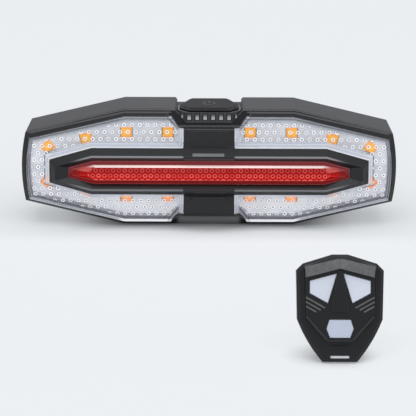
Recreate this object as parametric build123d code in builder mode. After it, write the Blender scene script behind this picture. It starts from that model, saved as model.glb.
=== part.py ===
from build123d import *
import math
import os

os.makedirs("parts", exist_ok=True)

# Shares of the light's width or height: its flat top, its ends, and what keeps its place in it
light_flat_share = 0.4533
light_end_share = 0.5947
screw_x_share = 0.2792
screw_z_share = 0.3
port_x_share = 0.3667
port_z_share = 0.1053
battery_width_share = 0.5
battery_height_share = 0.7105

# The light's outline, a long hexagon seen from the front, and its depth
light_width = 120.0
light_height = 38.0
light_flat = light_width * light_flat_share
light_end_height = light_height * light_end_share
light_end_bow = 1.2
housing_depth = 20.0
housing_draft = 1.25
housing_wall = 1.8

# Clearances between parts, and how far a cut runs past a face
fit_gap = 0.1
running_gap = 0.15
overrun = 1.0

# The bezel round the lenses, and its two centre tabs
bezel_height = 2.7
bezel_chamfer = 1.5
tongue_inset = 2.1
tongue_depth = 2.2
seat_width = 1.2
tab_front = 4.9
tab_step = 1.4
tab_length = 4.7
lower_tab_step = 3.3
tab_wide = 24.2
tab_wide_height = light_height / 2 - tab_step
tab_narrow = 19.0
tab_reach = light_height / 2 - tab_length
lower_tab_shoulder = 21.8
lower_tab_shoulder_height = light_height / 2 - lower_tab_step
lower_tab_narrow = 16.8

# The two clear lenses
lens_front = 2.84
lens_thickness = 1.6
lens_inset = 1.65
lens_lip_width = 0.7
lens_lip_height = 0.35
lens_wall_width = 1.6
lens_wall_height = 2.6
gasket_thickness = 0.6
gasket_width = 0.9

# The black centre frame that carries the red lens
frame_end_margin = 9.1
frame_taper = 13.4
window_inset = 1.35
frame_length = light_width - frame_end_margin * 2
frame_height = 15.2
frame_flat = frame_length - frame_taper * 2
frame_end_height = 7.5
frame_edge = 5.7
frame_corner_radius = 1.0
frame_back = -2.3
ridge_step = 1.7
ridge_length = frame_length - ridge_step * 2
ridge_height = 11.4
ridge_end_height = 4.8
ridge_front = 8.15
ridge_land = 0.3
pocket_step = 4.3
pocket_length = ridge_length - pocket_step * 2
pocket_height = 7.8
pocket_flat = frame_flat - window_inset
pocket_end_height = 3.2
pocket_front = 6.6
pocket_floor = 5.05

# The red lens: a flange with a cut bar on it, hollow behind
bar_end_step = 1.4
bar_cut_length = 5.0
bar_length = pocket_length - bar_end_step * 2
bar_height = 5.1
bar_end_height = 2.0
bar_top_length = bar_length - bar_cut_length * 2
bar_top_height = 4.2
bar_top_flat = pocket_flat - bar_height + bar_top_height
bar_top_end_height = 1.2
bar_front = 8.3
red_lens_wall = 1.1

# The two black bridges over the centre frame
bridge_width = 16.2
bridge_front = 5.6
bridge_skin = 0.55
bridge_pad_width = 13.2
bridge_pad_end_width = 9.8
bridge_pad_height = 0.3
bridge_pad_margin = 0.7
bridge_pad_reach = 2.2
bridge_pad_waist = frame_height / 2 + bridge_pad_reach

# Reflector, circuit board and what is on it
reflector_front = -2.4
reflector_thickness = 1.0
reflector_inset = 2.3
reflector_rim = 1.2
board_front = -4.4
board_thickness = 1.6
board_inset = 2.8
led_width = 3.6
led_height = 3.2
led_thickness = 1.9
led_window_gap = 0.4
led_place_shares = [(0.220, 0.563), (0.442, 0.563), (0.658, 0.458), (0.863, 0.305)]
led_turns = [0.0, 0.0, 14.0, 38.0]
red_led_count = 14
red_led_pitch = bar_length / red_led_count
red_led_width = 3.0
red_led_height = 1.4
red_led_thickness = 1.0
radio_chip_size = 7.0
driver_chip_size = 5.0
charge_chip_size = 3.6
chip_place_shares = [(-0.333, 0.0), (0.333, 0.1), (0.725, 0.35)]
chip_thickness = 1.1
screw_x = light_width * screw_x_share
screw_z = light_height * screw_z_share
screw_shank = 1.6
screw_head = 3.8
screw_head_height = 0.9
screw_length = 8.0
boss_diameter = 5.2

# Battery on its foam pad
battery_width = light_width * battery_width_share
battery_height = light_height * battery_height_share
battery_clearance = 0.25
battery_edge_radius = 1.2
foam_margin = 4.0
foam_thickness = 0.75

# The channel across the top, the button in it, its surround and its switch
channel_width = 20.7
channel_depth = 2.8
channel_chamfer = 0.6
button_width = 18.6
button_back_flat = 12.4
button_front_flat = 12.8
button_back = 11.9
button_side_back = 5.0
button_side_front = 0.8
button_front = 2.2
button_proud = 1.0
button_bevel = 1.5
button_bevel_drop = 0.65
button_height = 2.25
button_travel = 0.8
surround_top_wall = 0.55
surround_flare = 0.95
surround_height = 2.9
surround_top_below = 0.5
surround_floor = 0.65
slot_count = 6
slot_pitch = 2.54
slot_width = 1.4
slot_height = 2.2
slot_depth = 0.5
slot_bottom = 0.65
stem_width = 4.0
stem_depth = 3.0
stem_back = 8.0
plunger_diameter = 3.4
plunger_length = 1.7
plunger_bore_spare = 0.4
switch_size = 6.0
switch_depth = 3.9
switch_top_drop = 1.4

# Charging socket on its own board, behind a rubber cover
usb_x = light_width * port_x_share
usb_z = -light_height * port_z_share
usb_width = 8.94
usb_height = 3.2
usb_length = 7.3
usb_shell = 0.3
usb_tongue = 0.7
usb_tongue_width = 6.3
charge_board_width = 13.0
charge_board_thickness = 1.2
port_wall = 3.3
port_wall_margin = 2.0
cover_length = 15.0
cover_height = 8.4
cover_thickness = 1.5
cover_corner = 0.6
cover_grip_depth = 0.5
cover_grip_width = 3.0

# Quarter-turn hub on the back and the seat-post bracket on it
hub_drop = 1.0
hub_z = light_height / 2 - hub_drop
hub_radius = 10.5
hub_recess = 0.6
hub_base = 1.5
neck_radius = 8.0
lobe_radius = 10.4
lobe_angle = 60.0
lobe_thickness = 1.6
lip_thickness = 1.7
bracket_floor = 1.8
bracket_height = 24.0
bracket_cut_share = 0.22

# The seat post that the bracket fits, its pad and its strap
post_diameter = 27.2
pad_thickness = 1.5
pad_angle = 112.0
pad_height = 16.0
strap_thickness = 2.4
strap_height = 13.0
strap_corner = 3.2
strap_overlap = 14.5
hook_length = 3.0
hook_height = 6.6
hook_reach = 3.9
hook_lip = 1.0
strap_hole_gap = 0.25

# The remote: where it stands, its lean, and its outline from the foot up
remote_x = 37.8
remote_forward = 143.8
remote_lean = 18.0
remote_width = 25.2
remote_height = 30.9
remote_foot_width = 10.0
remote_side_foot = 12.3
remote_side_foot_width = 24.6
remote_jaw_bulge = 0.6
remote_shoulder = 26.3
remote_temple = 28.3
remote_temple_width = 21.2
remote_crown_width = 4.4
remote_wall = 1.1
remote_front = 2.4
remote_front_chamfer = 0.8
remote_rear = 6.4
remote_rear_chamfer = 0.8
remote_back_wall = 1.0

# The raised mask on the remote's face: places on it are shares of half its width and of its height
mask_rise = 1.1
mask_bevel = 0.36
mask_top_width = 20.8
mask_top = 27.6
mask_crown = 29.9
mask_crown_width = 4.0
mask_cheek = 13.4
mask_cheek_width = 20.2
mask_chin = 5.4
mask_chin_width = 7.2
brow_rise = 2.2
brow_outer_top = 27.5
brow_outer_foot = 24.25
brow_outer_top_width = 20.6
brow_outer_foot_width = 19.2
brow_centre_top = 29.9
brow_centre_foot = 26.75
brow_tilt = 24.0
nose_rise = 0.7
nose_top = 26.2
nose_top_width = 1.3
nose_foot = 14.6
nose_foot_width = 5.2
rib_rise = 0.45
rib_width = 0.5
rib_start_shares = [(0.786, 0.602), (0.786, 0.560), (0.778, 0.518)]
rib_end_shares = [(0.349, 0.502), (0.444, 0.482), (0.540, 0.463)]
jaw_start_share = (0.770, 0.421)
jaw_end_share = (0.270, 0.191)
chin_bar_width = 6.8
chin_bar_height = 5.9
chin_groove_width = 4.1
chin_groove_height = 4.85

# The remote's three keys: their corners, in the same shares, their heights and their travel
eye_key_shares = [(0.075, 0.822), (0.694, 0.754), (0.694, 0.639), (0.282, 0.547)]
centre_key_shares = [(-0.242, 0.393), (0.242, 0.393), (0.310, 0.309), (0.230, 0.225), (-0.230, 0.225),
                     (-0.310, 0.309)]
key_front = 3.25
key_flange = 0.5
key_flange_thickness = 0.5
key_travel = 0.6
key_stem = 1.6

# Inside the remote
remote_board_front = -0.6
remote_board_thickness = 1.0
remote_board_inset = 1.5
key_switch_size = 3.0
key_switch_height = 0.9
cell_diameter = 20.0
cell_thickness = 3.2
cell_edge = 0.2
cell_height = 17.9
cell_contact_length = 14.0
cell_contact_width = 4.0
cell_contact_thickness = 0.3
remote_screw_x = 7.0
remote_screw_y = 6.4
remote_screw_shank = 1.2
remote_screw_head = 2.4
remote_screw_head_height = 0.9
remote_boss = 2.8
lug_slot_width = 5.7
lug_slot_height = 0.85
lug_slot_foot = 0.95
lug_thickness = 1.2

# The cradle behind the remote, for a handlebar, and its pad
bar_diameter = 22.2
cradle_width = 11.0
cradle_skin = 0.4
cradle_centre = 16.2
cradle_angle = 124.0
cradle_shoulder = 1.6
bar_pad_thickness = 1.2

# Places that several parts share, worked out from the sizes above
centre_z = light_height / 2
split_y = housing_depth / 2
lens_back = lens_front - lens_thickness
seat_front = lens_back - gasket_thickness
board_back = board_front - board_thickness
channel_floor = light_height / 2 - channel_depth
channel_under = channel_floor - housing_wall
button_top = light_height / 2 + button_proud
button_foot = button_top - button_height
surround_top = button_top - button_bevel_drop - surround_top_below
surround_foot = surround_top - surround_height
hub_front_y = split_y - hub_recess
neck_y = hub_front_y + hub_base
lobe_y = neck_y + lip_thickness + fit_gap * 2
bracket_y = neck_y + fit_gap
post_y = lobe_y + lobe_thickness + running_gap + bracket_floor + pad_thickness + post_diameter / 2
mask_front = remote_front + mask_rise
lug_top = lug_slot_foot + lug_slot_height + remote_wall


def front(depth):
    """Plane facing forwards, its origin in the middle of the outline, depth before the split."""
    return Plane(origin=(0, -split_y - depth, centre_z), x_dir=(1, 0, 0), z_dir=(0, -1, 0))


def hub_plane(y):
    """Plane facing backwards, its origin on the hub's axis."""
    return Plane(origin=(0, y, hub_z), x_dir=(1, 0, 0), z_dir=(0, 1, 0))


def remote_plane(depth):
    """Plane parallel to the remote's face, its origin at the foot's middle."""
    lean = math.radians(remote_lean)
    out = Vector(0, -math.cos(lean), math.sin(lean))
    foot = Vector(remote_x, -remote_forward, 0)
    return Plane(origin=foot + out * depth, x_dir=(1, 0, 0), z_dir=out)


def remote_side(offset):
    """Plane across the remote: its first axis is up the face, its second is out of it."""
    face = remote_plane(0)
    origin = face.origin + face.x_dir * offset
    return Plane(origin=origin, x_dir=face.y_dir, z_dir=face.x_dir)


def long_hexagon(length, height, flat, end_height, bow=0, mode=Mode.ADD):
    """A hexagon drawn out sideways, its two ends straight or bowed."""
    with BuildLine() as drawn:
        for side in (1, -1):
            end = side * (length / 2 - bow)
            Line((0, height / 2), (side * flat / 2, height / 2))
            Line((side * flat / 2, height / 2), (end, end_height / 2))
            if bow:
                ThreePointArc((end, end_height / 2), (side * length / 2, 0), (end, -end_height / 2))
            else:
                Line((end, end_height / 2), (end, -end_height / 2))
            Line((end, -end_height / 2), (side * flat / 2, -height / 2))
            Line((side * flat / 2, -height / 2), (0, -height / 2))
    make_face(drawn.edges(), mode=mode)


def outline(inset=0, mode=Mode.ADD):
    """The light's outline, drawn in by inset."""
    with BuildSketch(mode=Mode.PRIVATE) as drawn:
        long_hexagon(light_width, light_height, light_flat, light_end_height, light_end_bow)
        if inset:
            offset(amount=-inset, kind=Kind.INTERSECTION)
    add(drawn.sketch_local, mode=mode)


def back_outline(inset=0):
    """The outline at the housing's back: drafted at its top and ends, level at its underside."""
    with BuildSketch(mode=Mode.PRIVATE) as drawn:
        long_hexagon(light_width - housing_draft * 2, light_height - housing_draft, light_flat,
                     light_end_height - housing_draft / 2, light_end_bow)
        if inset:
            offset(amount=-inset, kind=Kind.INTERSECTION)
    add(drawn.sketch_local.moved(Location((0, -housing_draft / 2, 0))))


def centre_tabs(grow=0, mode=Mode.ADD):
    """The bezel's upper and lower centre tabs."""
    with BuildSketch(mode=Mode.PRIVATE) as drawn:
        with BuildLine():
            Polyline((-tab_wide / 2, light_height / 2), (-tab_wide / 2, tab_wide_height),
                     (-tab_narrow / 2, tab_reach), (tab_narrow / 2, tab_reach),
                     (tab_wide / 2, tab_wide_height), (tab_wide / 2, light_height / 2), close=True)
        make_face()
        with BuildLine():
            Line((-tab_wide / 2, -light_height / 2), (tab_wide / 2, -light_height / 2))
            for side in (1, -1):
                Line((side * tab_wide / 2, -light_height / 2), (side * tab_wide / 2, -tab_wide_height))
                ThreePointArc((side * tab_wide / 2, -tab_wide_height),
                              (side * lower_tab_shoulder / 2, -lower_tab_shoulder_height),
                              (side * lower_tab_narrow / 2, -tab_reach))
            Line((-lower_tab_narrow / 2, -tab_reach), (lower_tab_narrow / 2, -tab_reach))
        make_face()
        if grow:
            offset(amount=grow, kind=Kind.INTERSECTION)
    add(drawn.sketch_local, mode=mode)


def black_cross(grow=0, mode=Mode.ADD):
    """The centre frame and the two bridges in one outline."""
    with BuildSketch(mode=Mode.PRIVATE) as drawn:
        long_hexagon(frame_length, frame_height, frame_flat, frame_end_height)
        Rectangle(bridge_width, tab_reach * 2)
        if grow:
            offset(amount=grow, kind=Kind.INTERSECTION)
    add(drawn.sketch_local, mode=mode)


def channel_block(grow=0, mode=Mode.ADD):
    """The walls and floor of the button's channel, seen from the front."""
    with Locations((0, channel_under - grow)):
        Rectangle(channel_width + (housing_wall + grow) * 2, light_height, mode=mode,
                  align=(Align.CENTER, Align.MIN))


def button_plan(grow=0, mode=Mode.ADD):
    """The button's outline seen from above."""
    with BuildSketch(mode=Mode.PRIVATE) as drawn:
        with BuildLine():
            Polyline((-button_back_flat / 2, button_back - split_y),
                     (-button_width / 2, button_side_back - split_y),
                     (-button_width / 2, button_side_front - split_y),
                     (-button_front_flat / 2, -button_front - split_y),
                     (button_front_flat / 2, -button_front - split_y),
                     (button_width / 2, button_side_front - split_y),
                     (button_width / 2, button_side_back - split_y),
                     (button_back_flat / 2, button_back - split_y), close=True)
        make_face()
        if grow:
            offset(amount=grow, kind=Kind.INTERSECTION)
    add(drawn.sketch_local, mode=mode)


def led_spots():
    """Places and turns of the amber LEDs, four in each quarter of the light."""
    spots = []
    for (across, up), turn in zip(led_place_shares, led_turns):
        for side in (1, -1):
            for level in (1, -1):
                place = (side * across * light_width / 2, level * up * light_height / 2, 0)
                spots.append(Location(place, (0, 0, -side * level * turn)))
    return spots


def save(piece, name):
    """Labels a finished piece and writes its file."""
    piece.part.label = name
    export_step(piece.part, "parts/" + name + ".step")


# Rear housing: a drafted shell, open at the front, with the button's channel across its top
with BuildPart() as rear_housing:
    with BuildSketch(front(0)):
        outline()
    with BuildSketch(front(-housing_depth)):
        back_outline()
    loft(ruled=True)
    with BuildSketch(front(0)):
        outline(housing_wall)
    with BuildSketch(front(housing_wall - housing_depth)):
        back_outline(housing_wall)
    loft(ruled=True, mode=Mode.SUBTRACT)
    # Walls and floor of the channel, and the thicker wall round the charging port
    with BuildSketch(front(0)):
        channel_block()
    extrude(amount=-housing_depth)
    with BuildSketch(front(-housing_depth)):
        with Locations((usb_x, usb_z)):
            Rectangle(cover_length + port_wall_margin * 2, cover_height + port_wall_margin * 2)
    extrude(amount=port_wall)
    # Screw bosses
    with BuildSketch(front(board_back)):
        with GridLocations(screw_x * 2, screw_z * 2, 2, 2):
            Circle(boss_diameter / 2)
    extrude(amount=-housing_depth - board_back)
    # All of it is held within the drafted form
    with BuildSketch(front(0)):
        outline()
    with BuildSketch(front(-housing_depth)):
        back_outline()
    loft(ruled=True, mode=Mode.INTERSECT)
    # Channel
    with BuildSketch(front(overrun)):
        with Locations((0, channel_floor)):
            Rectangle(channel_width, light_height, align=(Align.CENTER, Align.MIN))
    extrude(amount=-housing_depth - overrun * 2, mode=Mode.SUBTRACT)
    with BuildSketch(Plane.XY.offset(channel_floor + centre_z)):
        with Locations((0, stem_back - split_y)):
            Rectangle(stem_width + running_gap * 2, stem_depth + running_gap * 2)
    extrude(amount=-housing_wall - overrun, mode=Mode.SUBTRACT)
    # Screw holes
    with BuildSketch(front(board_back)):
        with GridLocations(screw_x * 2, screw_z * 2, 2, 2):
            Circle(screw_shank / 2 + fit_gap / 2)
    extrude(amount=-screw_length, mode=Mode.SUBTRACT)
    # Recess of the port's cover, and the hole for the socket
    with BuildSketch(front(-housing_depth)):
        with Locations((usb_x, usb_z)):
            RectangleRounded(cover_length + running_gap * 2, cover_height + running_gap * 2, cover_corner)
    extrude(amount=cover_thickness + running_gap, mode=Mode.SUBTRACT)
    with BuildSketch(front(-housing_depth)):
        with Locations((usb_x, usb_z)):
            SlotOverall(usb_width + fit_gap * 2, usb_height + fit_gap * 2)
    extrude(amount=port_wall + overrun, mode=Mode.SUBTRACT)
    # Shallow seat of the quarter-turn hub
    with BuildSketch(front(-housing_depth)):
        with Locations((0, hub_z - centre_z)):
            Circle(hub_radius + fit_gap / 2)
    extrude(amount=hub_recess, mode=Mode.SUBTRACT)
    # Broken edges along the channel's top
    over_channel = rear_housing.edges().filter_by_position(Axis.Z, light_height - housing_draft - fit_gap,
                                                           light_height + fit_gap)
    for side in (1, -1):
        reach = sorted((side * (channel_width / 2 - fit_gap), side * (channel_width / 2 + fit_gap)))
        chamfer(over_channel.filter_by_position(Axis.X, reach[0], reach[1]), channel_chamfer)
save(rear_housing, "rear_housing")

# Front bezel: a chamfered ring with a tongue into the housing, and the two centre tabs
with BuildPart() as front_bezel:
    with BuildSketch(front(0)):
        outline()
    with BuildSketch(front(bezel_height)):
        outline(bezel_chamfer)
    loft(ruled=True)
    with BuildSketch(front(0)):
        outline(tongue_inset)
    extrude(amount=-tongue_depth)
    with BuildSketch(front(bezel_height)):
        centre_tabs()
    extrude(amount=tab_front - bezel_height)
    # The tabs' faces slope back to the bezel's outer edge
    with BuildSketch(Plane.YZ.offset(-tab_wide / 2 - overrun)):
        for level in (1, -1):
            with BuildLine():
                Polyline((-split_y, centre_z + level * light_height / 2),
                         (-split_y - tab_front - overrun,
                          centre_z + level * (tab_reach + fit_gap)),
                         (-split_y - tab_front - overrun, centre_z + level * light_height), close=True)
            make_face()
    extrude(amount=tab_wide + overrun * 2, mode=Mode.SUBTRACT)
    # Room for the lenses down to their gasket seat, then right through
    with BuildSketch(front(bezel_height + overrun)):
        outline(lens_inset - fit_gap)
        centre_tabs(mode=Mode.SUBTRACT)
        black_cross(mode=Mode.SUBTRACT)
    extrude(amount=seat_front - bezel_height - overrun, mode=Mode.SUBTRACT)
    with BuildSketch(front(seat_front)):
        outline(lens_inset + seat_width)
        centre_tabs(grow=seat_width, mode=Mode.SUBTRACT)
        black_cross(mode=Mode.SUBTRACT)
    extrude(amount=-tongue_depth - seat_front - overrun, mode=Mode.SUBTRACT)
    # Room for the centre frame, the channel's block and the button's surround
    with BuildSketch(front(tab_front)):
        long_hexagon(frame_length + fit_gap * 2, frame_height + fit_gap * 2, frame_flat, frame_end_height)
    extrude(amount=-tab_front - tongue_depth - overrun, mode=Mode.SUBTRACT)
    with BuildSketch(front(0)):
        channel_block(grow=fit_gap)
    extrude(amount=-tongue_depth - overrun, mode=Mode.SUBTRACT)
    with BuildSketch(Plane.XY.offset(surround_foot + centre_z - fit_gap)):
        button_plan(grow=surround_top_wall + surround_flare + fit_gap)
    extrude(amount=light_height, mode=Mode.SUBTRACT)
save(front_bezel, "front_bezel")


# Flat silicone gasket under the rims of both lenses
with BuildPart() as lens_gasket:
    with BuildSketch(front(seat_front + fit_gap / 2)):
        outline(lens_inset + fit_gap)
        centre_tabs(grow=fit_gap, mode=Mode.SUBTRACT)
        outline(lens_inset + fit_gap + gasket_width, mode=Mode.SUBTRACT)
    extrude(amount=gasket_thickness - fit_gap)
save(lens_gasket, "lens_gasket")


def make_lens(side):
    """Clear lens on one side: a plate with a lip, and a sloped wall up to the black frame."""
    with BuildPart() as lens:
        with BuildSketch(front(lens_front)):
            black_cross(grow=lens_wall_width)
        extrude(amount=lens_wall_height, taper=math.degrees(math.atan2(lens_wall_width, lens_wall_height)))
        with BuildSketch(front(lens_back)):
            outline(lens_inset)
        extrude(amount=lens_thickness)
        with BuildSketch(front(lens_front)):
            outline(lens_inset)
            outline(lens_inset + lens_lip_width, mode=Mode.SUBTRACT)
        extrude(amount=lens_lip_height)
        with BuildSketch(front(lens_back - overrun)):
            black_cross(grow=fit_gap)
            centre_tabs(grow=fit_gap)
        extrude(amount=tab_front + overrun * 2, mode=Mode.SUBTRACT)
        with BuildSketch(front(lens_back - overrun)):
            with Locations((side * light_width / 2, 0)):
                Rectangle(light_width, light_height)
        extrude(amount=tab_front + overrun * 2, mode=Mode.INTERSECT)
    return lens


left_lens = make_lens(-1)
save(left_lens, "left_lens")
right_lens = make_lens(1)
save(right_lens, "right_lens")

# Centre frame: a long black hexagon, bevelled up to a ridge and down again to the red lens
with BuildPart() as centre_frame:
    with BuildSketch(front(frame_back)) as foot:
        long_hexagon(frame_length, frame_height, frame_flat, frame_end_height)
        fillet(foot.vertices().group_by(Axis.X)[0] + foot.vertices().group_by(Axis.X)[-1],
               frame_corner_radius)
    extrude(amount=frame_edge - frame_back)
    with BuildSketch(front(frame_edge)) as edge:
        long_hexagon(frame_length, frame_height, frame_flat, frame_end_height)
        fillet(edge.vertices().group_by(Axis.X)[0] + edge.vertices().group_by(Axis.X)[-1],
               frame_corner_radius)
    with BuildSketch(front(ridge_front)) as ridge:
        long_hexagon(ridge_length, ridge_height, frame_flat, ridge_end_height)
        fillet(ridge.vertices().group_by(Axis.X)[0] + ridge.vertices().group_by(Axis.X)[-1],
               frame_corner_radius)
    loft(ruled=True)
    with BuildSketch(front(ridge_front)):
        long_hexagon(ridge_length - ridge_land * 2, ridge_height - ridge_land * 2, frame_flat,
                     ridge_end_height)
    with BuildSketch(front(pocket_front)):
        long_hexagon(pocket_length, pocket_height, pocket_flat, pocket_end_height)
    loft(ruled=True, mode=Mode.SUBTRACT)
    with BuildSketch(front(pocket_front)):
        long_hexagon(pocket_length, pocket_height, pocket_flat, pocket_end_height)
    extrude(amount=pocket_floor - pocket_front, mode=Mode.SUBTRACT)
    with BuildSketch(front(pocket_floor)):
        long_hexagon(pocket_length - window_inset * 2, pocket_height - window_inset * 2, pocket_flat,
                     pocket_end_height - window_inset)
    extrude(amount=frame_back - pocket_floor - overrun, mode=Mode.SUBTRACT)
save(centre_frame, "centre_frame")

# Red lens: its flange lies in the frame's pocket, its cut bar stands proud
with BuildPart() as red_lens:
    with BuildSketch(front(pocket_floor + fit_gap / 2)):
        long_hexagon(pocket_length - fit_gap * 2, pocket_height - fit_gap * 2, pocket_flat,
                     pocket_end_height - fit_gap)
    extrude(amount=pocket_front - pocket_floor - fit_gap / 2)
    with BuildSketch(front(pocket_front)):
        long_hexagon(bar_length, bar_height, pocket_flat, bar_end_height)
    with BuildSketch(front(bar_front)):
        long_hexagon(bar_top_length, bar_top_height, bar_top_flat, bar_top_end_height)
    loft(ruled=True)
    with BuildSketch(front(pocket_floor)):
        long_hexagon(bar_top_length - red_lens_wall, bar_top_height - red_lens_wall,
                     bar_top_flat - red_lens_wall, bar_top_end_height)
    extrude(amount=bar_front - red_lens_wall - pocket_floor, mode=Mode.SUBTRACT)
save(red_lens, "red_lens")


def make_bridge(level):
    """Black bridge above (1) or below (-1) the red lens, following the frame's bevels."""
    end = tab_reach - fit_gap
    skin = bridge_skin
    clear = fit_gap
    profile = [(end, bezel_height + fit_gap / 2), (end, bridge_front),
               (frame_height / 2 + clear + skin, bridge_front),
               (frame_height / 2 + skin, frame_edge + clear),
               (ridge_height / 2 + skin / 2, ridge_front + skin),
               (ridge_height / 2 - skin, ridge_front + skin),
               (pocket_height / 2 + fit_gap, pocket_front + skin + clear),
               (pocket_height / 2 + fit_gap, pocket_front + clear),
               (ridge_height / 2 - ridge_land, ridge_front + clear),
               (ridge_height / 2 + clear / 2, ridge_front + clear),
               (frame_height / 2 + clear, frame_edge + clear / 2),
               (frame_height / 2 + clear, bezel_height + fit_gap / 2)]
    with BuildPart() as bridge:
        with BuildSketch(Plane.YZ.offset(-bridge_width / 2)):
            with BuildLine():
                Polyline([(-split_y - f, centre_z + level * up) for up, f in profile], close=True)
            make_face()
        extrude(amount=bridge_width)
        with BuildSketch(front(bridge_front)):
            with BuildLine():
                Polyline((-bridge_pad_width / 2, level * (end - bridge_pad_margin)),
                         (bridge_pad_width / 2, level * (end - bridge_pad_margin)),
                         (bridge_pad_width / 2, level * bridge_pad_waist),
                         (bridge_pad_end_width / 2, level * (frame_height / 2 + skin + clear)),
                         (-bridge_pad_end_width / 2, level * (frame_height / 2 + skin + clear)),
                         (-bridge_pad_width / 2, level * bridge_pad_waist), close=True)
            make_face()
        extrude(amount=bridge_pad_height)
    return bridge


upper_bridge = make_bridge(1)
save(upper_bridge, "upper_bridge")
lower_bridge = make_bridge(-1)
save(lower_bridge, "lower_bridge")

# Reflector: a plate with a window over each LED and a rim that stands on the board
with BuildPart() as reflector:
    with BuildSketch(front(board_front + fit_gap / 2)):
        outline(reflector_inset)
        channel_block(grow=fit_gap, mode=Mode.SUBTRACT)
    extrude(amount=reflector_front - board_front - fit_gap / 2)
    with BuildSketch(front(board_front)):
        outline(reflector_inset + reflector_rim)
        channel_block(grow=fit_gap + reflector_rim, mode=Mode.SUBTRACT)
    extrude(amount=reflector_front - reflector_thickness - board_front, mode=Mode.SUBTRACT)
    with BuildSketch(front(reflector_front + overrun)):
        with Locations(led_spots()):
            Rectangle(led_width + led_window_gap, led_height + led_window_gap)
        long_hexagon(pocket_length - window_inset * 2, pocket_height - window_inset * 2, pocket_flat,
                     pocket_end_height - window_inset)
    extrude(amount=-reflector_thickness - overrun * 2, mode=Mode.SUBTRACT)
save(reflector, "reflector")

# Circuit board, cut back round the channel, with four screw holes
with BuildPart() as led_board:
    with BuildSketch(front(board_back)):
        outline(board_inset)
        channel_block(grow=fit_gap, mode=Mode.SUBTRACT)
        with GridLocations(screw_x * 2, screw_z * 2, 2, 2):
            Circle(screw_shank / 2 + fit_gap, mode=Mode.SUBTRACT)
    extrude(amount=board_thickness)
save(led_board, "led_board")

# Sixteen amber LEDs, four in each quarter
with BuildPart() as amber_leds:
    with BuildSketch(front(board_front)):
        with Locations(led_spots()):
            Rectangle(led_width, led_height)
    extrude(amount=led_thickness)
save(amber_leds, "amber_leds")

# A row of red LEDs behind the red lens
with BuildPart() as red_leds:
    with BuildSketch(front(board_front)):
        with GridLocations(red_led_pitch, red_led_pitch, red_led_count, 1):
            Rectangle(red_led_width, red_led_height)
    extrude(amount=red_led_thickness)
save(red_leds, "red_leds")

# Radio, driver and charging chips on the board's back
with BuildPart() as board_chips:
    with BuildSketch(front(board_back)):
        for size, (across, up) in zip((radio_chip_size, driver_chip_size, charge_chip_size),
                                      chip_place_shares):
            with Locations((across * light_width / 2, up * light_height / 2)):
                Rectangle(size, size)
    extrude(amount=-chip_thickness)
save(board_chips, "board_chips")

# Four screws that hold the board on the housing's bosses
with BuildPart() as board_screws:
    with BuildSketch(front(board_front)):
        with GridLocations(screw_x * 2, screw_z * 2, 2, 2):
            Circle(screw_head / 2)
    extrude(amount=screw_head_height)
    with BuildSketch(front(board_front)):
        with GridLocations(screw_x * 2, screw_z * 2, 2, 2):
            Circle(screw_shank / 2)
    extrude(amount=-screw_length)
save(board_screws, "board_screws")

# Foam pad on the housing's back wall, and the flat battery on it
battery_back = housing_wall - housing_depth + foam_thickness + fit_gap / 2
battery_front = board_back - switch_depth - battery_clearance
with BuildPart() as battery_pad:
    with BuildSketch(front(housing_wall - housing_depth)):
        Rectangle(battery_width - foam_margin * 2, battery_height - foam_margin * 2)
    extrude(amount=foam_thickness)
save(battery_pad, "battery_pad")

with BuildPart() as battery:
    with BuildSketch(front(battery_back)):
        Rectangle(battery_width, battery_height)
    extrude(amount=battery_front - battery_back)
    fillet(battery.edges().filter_by(Axis.X), battery_edge_radius)
save(battery, "battery")

# Ribbed surround in the channel: it flares downwards and its front wall has blind slots
with BuildPart() as button_surround:
    with BuildSketch(Plane.XY.offset(surround_foot + centre_z)):
        button_plan(grow=surround_top_wall + surround_flare)
    with BuildSketch(Plane.XY.offset(surround_top + centre_z)):
        button_plan(grow=surround_top_wall + running_gap)
    loft(ruled=True)
    with BuildSketch(Plane.XY.offset(surround_top + centre_z)):
        button_plan(grow=running_gap)
    extrude(amount=-(surround_top - channel_floor - surround_floor), mode=Mode.SUBTRACT)
    with BuildSketch(front(0)):
        with Locations((0, channel_floor + fit_gap / 2)):
            Rectangle(light_width, light_height, align=(Align.CENTER, Align.MAX))
    extrude(amount=-housing_depth, mode=Mode.SUBTRACT)
    with BuildSketch(front(-housing_depth)):
        for side in (1, -1):
            with Locations((side * (channel_width / 2 - fit_gap / 2), 0)):
                Rectangle(light_height, light_height,
                          align=(Align.MIN if side > 0 else Align.MAX, Align.MIN))
    extrude(amount=housing_depth + fit_gap, mode=Mode.SUBTRACT)
    with BuildSketch(Plane.XY.offset(channel_floor + centre_z)):
        with Locations((0, stem_back - split_y)):
            Rectangle(stem_width + running_gap * 2, stem_depth + running_gap * 2)
    extrude(amount=surround_floor + overrun, mode=Mode.SUBTRACT)
    with BuildSketch(front(button_front + surround_top_wall + surround_flare)):
        with Locations((0, surround_foot + slot_bottom)):
            with GridLocations(slot_pitch, slot_height, slot_count, 1):
                Rectangle(slot_width, slot_height, align=(Align.CENTER, Align.MIN))
    extrude(amount=-slot_depth - surround_flare * slot_bottom / surround_height, mode=Mode.SUBTRACT)
save(button_surround, "button_surround")

# Power button: a bevelled cap with a stem down to the switch
stem_foot = channel_under - switch_top_drop + plunger_length / 2
with BuildPart() as power_button:
    with BuildSketch(Plane.XY.offset(button_foot + centre_z)):
        button_plan()
    extrude(amount=button_height - button_bevel_drop)
    with BuildSketch(Plane.XY.offset(button_top - button_bevel_drop + centre_z)):
        button_plan()
    with BuildSketch(Plane.XY.offset(button_top + centre_z)):
        button_plan(grow=-button_bevel)
    loft(ruled=True)
    with BuildSketch(Plane.XY.offset(button_foot + centre_z)):
        with Locations((0, stem_back - split_y)):
            Rectangle(stem_width, stem_depth)
    extrude(amount=stem_foot - button_foot)
save(power_button, "power_button")

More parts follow.
